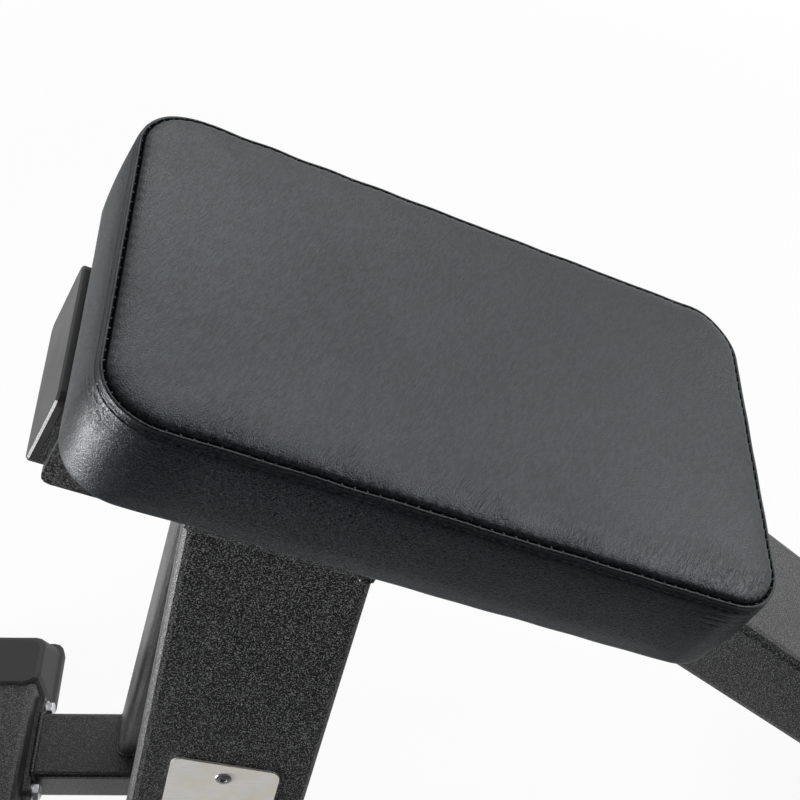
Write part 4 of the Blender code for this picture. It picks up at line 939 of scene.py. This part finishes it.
def on_pad(run, inset, height):
    """Points at the given lengths round the pad, with their outward and forward directions."""
    base, out = outline_at(run)
    rise = np.full((len(run), 1), height)
    outward = np.concatenate([out, np.zeros_like(rise)], axis=1)
    forward = np.stack([-out[:, 1], out[:, 0], np.zeros(len(run))], axis=1)
    return np.concatenate([base + out * (PAD_CORNER - inset), rise], axis=1), outward, forward


def thread_row(name, rings, finish):
    points = placed(rings.reshape(-1, 3), pad_frame)
    make_piece(name, points, capsule_faces(len(rings)), finish, "frame")
    print(name, "stitches:", len(rings))


# %% Stitches
TICK_OUT, TICK_HEIGHT, TICK_SCATTER = 0.0008, -0.0001, 0.00022
TICK_OUTWARD, TICK_FORWARD = 0.86, 0.51
DASH_INSET = 0.0002
# Half length, radius and dive of a stitch.
TICK = (0.0013, 0.00034, 0.0012)
DASH = (0.0022, 0.00036, 0.0006)

stitch_run = np.arange(STITCHES) * TOTAL_RUN / STITCHES
middles, outward, forward = on_pad(stitch_run, GROOVE_INSET - TICK_OUT, TICK_HEIGHT)
middles[:, 2] += np.random.default_rng(5).normal(0.0, TICK_SCATTER, len(middles))
slanted = outward * TICK_OUTWARD + forward * TICK_FORWARD
upward = np.broadcast_to([0.0, 0.0, 1.0], middles.shape)
# These ticks take the paler thread, whose colour is a painted highlight.
thread_row("seam_ticks", capsules(middles, slanted, upward, *TICK), TICK_THREAD_PAINTED_GLINT)

middles, outward, forward = on_pad(stitch_run + 0.5 * TOTAL_RUN / STITCHES, DASH_INSET, -STITCH_DROP)
thread_row("band_stitches", capsules(middles, forward, outward, *DASH), THREAD)


# %% [markdown]
# ## Turned pieces
# Bolts, screws and grips are all a radius that depends on the height along an axis and on the angle
# round it. One helper turns such a field of radii into a closed piece, and another finds the axis: it
# takes the middle of the solid that the piece stands for, and measures back from the solid's far end.

# %% Turned pieces
def facing_place(point, axis):
    """A place at a point, with Z along an axis."""
    turn = Vector(axis).to_track_quat("Z", "X").to_matrix().to_4x4()
    return Matrix.Translation(Vector(point)) @ turn


def axis_place(node, axis, back):
    """A place on a solid's middle line, so far back from its end, and the length from its other end."""
    low, high = (np.array(corner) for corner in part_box(node))
    axis = np.array(axis, float)
    length = (high - low) @ np.abs(axis)
    return facing_place((low + high) / 2 + axis * (length / 2 - back), axis), length - back


def stack_rings(columns, *parts):
    """Joins parts of a profile, each (radii, heights), where a ring has one radius or one per angle."""
    radii = [np.broadcast_to(np.reshape(part[0], (len(part[1]), -1)), (len(part[1]), columns))
             for part in parts]
    return np.concatenate(radii), np.concatenate([part[1] for part in parts])


def turned_piece(name, rings, place, finish, body, smooth=35):
    """Points at (radius x cosine, radius x sine, height): rows follow the profile, columns the angle."""
    radii, heights = rings
    rows, columns = radii.shape
    turn = full_turn(columns)
    rise = np.repeat(heights[:, None], columns, axis=1)
    grid = np.stack([radii * np.cos(turn), radii * np.sin(turn), rise], axis=-1).reshape(-1, 3)
    points = np.concatenate([grid, [(0.0, 0.0, heights[0]), (0.0, 0.0, heights[-1])]])
    return make_piece(name, placed(points, place), capped_grid(rows, columns), finish, body, smooth)


def hexagon(flats, columns):
    """Radius of a hexagon at each angle: half its flats over the cosine of the angle from a flat."""
    return flats / 2 / np.cos((full_turn(columns) + math.pi / 6) % (math.pi / 3) - math.pi / 6)


# %% [markdown]
# ### Hexagon bolts
# A bolt's head is a hexagon turned down at its corners, which leaves the curved edge that every real
# bolt has. The radius at each angle is the smaller of the hexagon's and of a 30 degree cone's. The
# shank's thread is a cosine of the height less the angle, which is a helix.

# %% Bolts
BOLT_COLUMNS = 48
BOLT_FLATS = 0.017
HEAD_TOP, HEAD_TURNED = 0.0085, 0.0022
CONE_FLATS, NECK_FLATS, NECK = 0.95, 0.97, 0.0004
WASHER_TOP, WASHER_RADIUS, WASHER_EDGE = 0.0020, 0.0105, 0.0003
THREAD_RADIUS, THREAD_PITCH, THREAD_DEPTH = 0.0050, 0.0015, 0.00035
THREAD_STEP, THREAD_TOP = 0.00036, -0.0002
DISH = [(0.0062, HEAD_TOP), (0.0058, HEAD_TOP - 0.0003), (0.0020, HEAD_TOP - 0.0003)]
SIDES = (("left", -1), ("right", 1))
BOLTS = [("bracket_bolt_%s_%s" % (end, side), (0, sign, 0))
         for side, sign in SIDES for end in ("front", "rear")]
BOLTS += [("rail_bolt_%s_%s" % (end, side), (1, 0, 0)) for side, _ in SIDES for end in ("inner", "outer")]


def bolt_profile(shank):
    """Radii and heights from the shank's tip, over the washer, to the middle of the head."""
    low = np.linspace(-shank, THREAD_TOP, round(shank / THREAD_STEP))
    wave = np.cos(math.tau * low[:, None] / THREAD_PITCH - full_turn(BOLT_COLUMNS))
    helix = THREAD_RADIUS - THREAD_DEPTH / 2 * (1 + wave)
    edge, neck = WASHER_RADIUS - WASHER_EDGE, BOLT_FLATS / 2 * NECK_FLATS
    washer = np.array([(THREAD_RADIUS, 0.0), (edge, 0.0), (WASHER_RADIUS, WASHER_EDGE),
                       (WASHER_RADIUS, WASHER_TOP - WASHER_EDGE), (edge, WASHER_TOP), (neck, WASHER_TOP),
                       (neck, WASHER_TOP + NECK)])
    high = np.append(WASHER_TOP + NECK, np.linspace(HEAD_TOP - HEAD_TURNED, HEAD_TOP, 9))
    cone = BOLT_FLATS / 2 * CONE_FLATS + (HEAD_TOP - high) / math.tan(math.radians(30))
    head = np.minimum(hexagon(BOLT_FLATS, BOLT_COLUMNS), cone[:, None])
    return stack_rings(BOLT_COLUMNS, (helix, low), washer.T, (head, high), np.array(DISH).T)


for node, axis in BOLTS:
    place, shank = axis_place(node, axis, HEAD_TOP)
    bolt = turned_piece(node + "_hex", bolt_profile(shank), place, ZINC, "frame")
    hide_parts(node)
print("bolts:", len(BOLTS))

# %% [markdown]
# ### Grips
# The handles have moulded rubber grips with a raised diamond pattern. Two families of spiral ribs cross:
# the height is the root of the product of two cosines, of the run plus the angle and of the run less the
# angle. The pattern fades out towards the collars.

# %% Grips
GRIP_COLUMNS = 96
GRIP_RADIUS, COLLAR_RADIUS = 0.0192, 0.0225
COLLAR_LENGTH, END_LENGTH, END_ROUND = 0.005, 0.004, 0.0030
DIAMOND_DEPTH, DIAMOND_PITCH, DIAMONDS = 0.0008, 0.0078, 16
DIAMOND_STEP = 0.0009
PLAIN_END, FADE_LENGTH = 0.002, 0.003
VENT = [(0.0035, END_LENGTH), (0.0030, END_LENGTH - 0.0004), (0.0030, END_LENGTH - 0.0025)]
# Each grip's axis and the radius of its bore.
GRIPS = {"wide_grip_left": ((0, -1, 0), 0.0163), "wide_grip_right": ((0, 1, 0), 0.0163),
         "neutral_grip_left": ((1, 0, 0), 0.0153), "neutral_grip_right": ((1, 0, 0), 0.0153)}


def grip_profile(length, bore):
    """Bore, end face and collar, then the patterned sleeve, and a rounded closed end with a vent."""
    slope = COLLAR_RADIUS - GRIP_RADIUS
    start, stop = -length + COLLAR_LENGTH + slope, -2 * slope
    run = np.linspace(start, stop, round((stop - start) / DIAMOND_STEP))
    along = math.pi * (run - start)[:, None] / DIAMOND_PITCH
    around = full_turn(GRIP_COLUMNS) * DIAMONDS / 2
    crossing = np.cos(along + around) * np.cos(along - around)
    edge = np.minimum(run - start, stop - run)
    fading = np.clip((edge - PLAIN_END) / FADE_LENGTH, 0.0, 1.0)[:, None]
    sleeve = GRIP_RADIUS + DIAMOND_DEPTH * fading * np.sqrt(np.abs(crossing))
    inboard = np.array([(bore, 0.0), (bore, -length), (COLLAR_RADIUS - 0.0012, -length),
                        (COLLAR_RADIUS - 0.0003, -length + 0.0004), (COLLAR_RADIUS, -length + 0.0012),
                        (COLLAR_RADIUS, -length + COLLAR_LENGTH)])
    bend = np.linspace(0.0, math.pi / 2, 7)
    end = np.stack([COLLAR_RADIUS - END_ROUND * (1 - np.cos(bend)),
                    END_LENGTH - END_ROUND * (1 - np.sin(bend))], axis=1)
    outboard = np.concatenate([[(COLLAR_RADIUS, -slope)], end, VENT])
    return stack_rings(GRIP_COLUMNS, inboard.T, (sleeve, run), outboard.T)


for node, (axis, bore) in GRIPS.items():
    place, length = axis_place(node, axis, END_LENGTH)
    grip = turned_piece(node + "_diamond", grip_profile(length, bore), place, RUBBER, "lever", 60)
    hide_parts(node)
print("grips:", len(GRIPS))

# %% [markdown]
# ### Weld beads
# Wherever two tubes meet there is a weld, a bead laid in small overlapping puddles and then powder coated
# with the rest. A bead is a tube along the outline where a tube ends. The outline is read from the
# solid: the corners of its end faces, put in order as a convex hull. The tube's radius ripples along the
# run, and the ripple comes later in the middle of the bead's face than at its edges, which bends each
# puddle into a crescent.

# %% Outlines read from the solids
LEVEL_PLAY = 0.002


def end_outline(node, direction, facing=0.9):
    """Corners, in order, round the faces of a solid that look one way, and those faces' mean normal."""
    mesh = nodes[node].data
    normals = np.empty(len(mesh.polygons) * 3, np.float32)
    mesh.polygons.foreach_get("normal", normals)
    normals = normals.reshape(-1, 3).astype(float)
    chosen = np.flatnonzero(normals @ np.array(direction, float) > facing)
    normal = Vector(normals[chosen].mean(axis=0)).normalized()
    turn = normal.to_track_quat("Z", "X").to_matrix()
    corners = {corner for index in chosen for corner in mesh.polygons[index].vertices}
    flat = [turn.transposed() @ mesh.vertices[corner].co for corner in sorted(corners)]
    level = max(point.z for point in flat) - LEVEL_PLAY
    flat = [point for point in flat if point.z > level]
    order = geometry.convex_hull_2d([point.xy for point in flat])
    return np.array([turn @ flat[index] for index in order]), np.array(normal)


def evenly(points, step):
    """Points a step apart on the closed line through the given corners."""
    closed = np.concatenate([points, points[:1]])
    run = np.concatenate([[0.0], np.cumsum(np.linalg.norm(np.diff(closed, axis=0), axis=1))])
    count = round(run[-1] / step)
    where = np.arange(count) / count * run[-1]
    return np.stack([np.interp(where, run, closed[:, k]) for k in range(3)], axis=1)


# %% Weld beads
BEAD_SIDES = 8
BEAD_STEP = 0.0009
BEAD_RADIUS, THIN_BEAD = 0.0030, 0.0020
PUDDLE, PUDDLE_DEPTH, PUDDLE_BEND = 0.0036, 0.13, 1.4
POINTS_EACH_WAY = 3


def bead_points(line, normal, radius):
    """A tube round a closed line: the section turns in the plane of the normal and the line's outside."""
    ahead = np.roll(line, -POINTS_EACH_WAY, axis=0) - np.roll(line, POINTS_EACH_WAY, axis=0)
    ahead /= np.linalg.norm(ahead, axis=1, keepdims=True)
    outside = np.cross(ahead, normal)
    away = np.einsum("ij,ij->", outside, line - line.mean(axis=0))
    outside = outside * math.copysign(1.0, away)
    upward = np.cross(outside, ahead)
    turn = full_turn(BEAD_SIDES)
    puddles = round(len(line) * BEAD_STEP / PUDDLE)
    run = full_turn(len(line))[:, None] * puddles
    width = radius * (1 + PUDDLE_DEPTH * np.cos(run - PUDDLE_BEND * np.cos(turn - math.pi / 4)))
    spread = np.cos(turn)[None, :, None] * outside[:, None] + np.sin(turn)[None, :, None] * upward[:, None]
    return line[:, None] + width[..., None] * spread


def weld(name, line, normal, body, radius=BEAD_RADIUS):
    """A bead that closes on itself: its last ring joins its first."""
    line = evenly(line, BEAD_STEP)
    points = bead_points(line, np.array(normal, float), radius)
    faces = grid_squares(len(line) + 1, BEAD_SIDES) % (len(line) * BEAD_SIDES)
    return make_piece("weld_" + name, points, [faces], COAT, body, 80)


PAD_UP = tuple(pad_frame.to_3x3() @ Vector((0, 0, 1)))
SPINE_TILT = math.radians(46.3)
SPINE_UP = (math.sin(SPINE_TILT), 0.0, math.cos(SPINE_TILT))
TUBE_ENDS = [("leg_left", (0, 0, -1)), ("leg_right", (0, 0, -1)), ("leg_left", PAD_UP), ("leg_right", PAD_UP),
             ("leg_cross_tube", (0, 1, 0)), ("leg_cross_tube", (0, -1, 0)), ("base_beam", (-1, 0, 0)),
             ("base_beam", (1, 0, 0)), ("spine_lower", (0, 0, -1)), ("spine_mount_plate", PAD_UP),
             ("pivot_ear_left", SPINE_UP), ("pivot_ear_right", SPINE_UP), ("lever_stand", (0, 0, -1)),
             ("lever_upright", (0, 0, -1)), ("lever_upright", (0, 0, 1))]

for number, (node, direction) in enumerate(TUBE_ENDS):
    line, normal = end_outline(node, direction)
    weld("%s_%d" % (node, number), line, normal, "lever" if node.startswith("lever_u") else "frame")
print("welds at tube ends:", len(TUBE_ENDS))

# %% Welds on the flanges, the hub and the short bars
FLANGE = 0.008
HUB_RADIUS = 0.024
BEAM_HALF = 0.030
BAR_RADIUS, STUB_RADIUS = 0.016, 0.015
STUB_OFFSET = 0.110
HANDLE_HEIGHT = 0.350

for side, _ in SIDES:
    line, normal = end_outline("rail_" + side, (1, 0, 0))
    line[:, 0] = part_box("rail_" + side)[0][0] + FLANGE
    weld("flange_" + side, line, normal, "frame")

turn = full_turn(72)
upright_low, upright_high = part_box("lever_upright")
bar_x = (upright_low[0] + upright_high[0]) / 2
for side, sign in SIDES:
    hub = np.stack([pivot.x + HUB_RADIUS * np.cos(turn), np.full_like(turn, sign * BEAM_HALF),
                    pivot.z + HUB_RADIUS * np.sin(turn)], axis=1)
    weld("hub_" + side, hub, (0, sign, 0), "lever")
    rise = STUB_RADIUS * np.sin(turn)
    saddle = np.stack([bar_x + np.sqrt(BAR_RADIUS ** 2 - rise ** 2),
                       sign * STUB_OFFSET + STUB_RADIUS * np.cos(turn), HANDLE_HEIGHT + rise], axis=1)
    weld("short_bar_" + side, saddle, (1, 0, 0), "lever", THIN_BEAD)
print("welds on flanges, hub and short bars: 6")

# %% [markdown]
# ### Badge screws
# The blank badge is held by two button screws. The head is a shallow dome with a hexagon socket: its
# profile goes up the shank, over the dome and down into the socket, where the radius is the hexagon's.
# The badge leans with its leg, so the screws' axis is the normal of the badge's own face.

# %% Badge screws
SCREW_COLUMNS = 36
SCREW_HEAD, SCREW_SHANK, SCREW_DEPTH = 0.0067, 0.0020, 0.0080
SCREW_SOCKET, SOCKET_DEPTH, SOCKET_EDGE = 0.0048, 0.0022, 0.0003
SOCKET_SHARES = [1.08, 1.0, 1.0, 0.5]
DOME, DOME_FROM, DOME_TURN = 0.0016, 0.0020, math.pi / 2 * 0.74
SCREW_SINK = 0.0025


def screw_profile():
    """Shank, underside, dome as a power of a cosine, then the socket's walls and floor."""
    turn = np.linspace(0.0, DOME_TURN, 9)
    shank = np.array([(SCREW_SHANK, -SCREW_DEPTH), (SCREW_SHANK, 0.0003), (SCREW_HEAD - 0.0004, 0.0016)])
    rise = DOME_FROM + DOME * np.sin(turn)
    socket = hexagon(SCREW_SOCKET, SCREW_COLUMNS) * np.array(SOCKET_SHARES)[:, None]
    down = rise[-1] - np.array([0.0, SOCKET_EDGE, SOCKET_DEPTH, SOCKET_DEPTH])
    return stack_rings(SCREW_COLUMNS, shank.T, (SCREW_HEAD * np.cos(turn) ** 0.6, rise), (socket, down))


_, badge_out = end_outline("badge_plate", (0, -1, 0))
for node in ("badge_screw_top", "badge_screw_base"):
    points = np.array([v.co for v in nodes[node].data.vertices])
    middle = points.mean(axis=0)
    seat = middle + badge_out * (((points - middle) @ badge_out).max() - SCREW_SINK)
    screw = turned_piece(node + "_button", screw_profile(), facing_place(seat, badge_out), ZINC, "frame")
    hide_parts(node)
print("badge screws: 2")
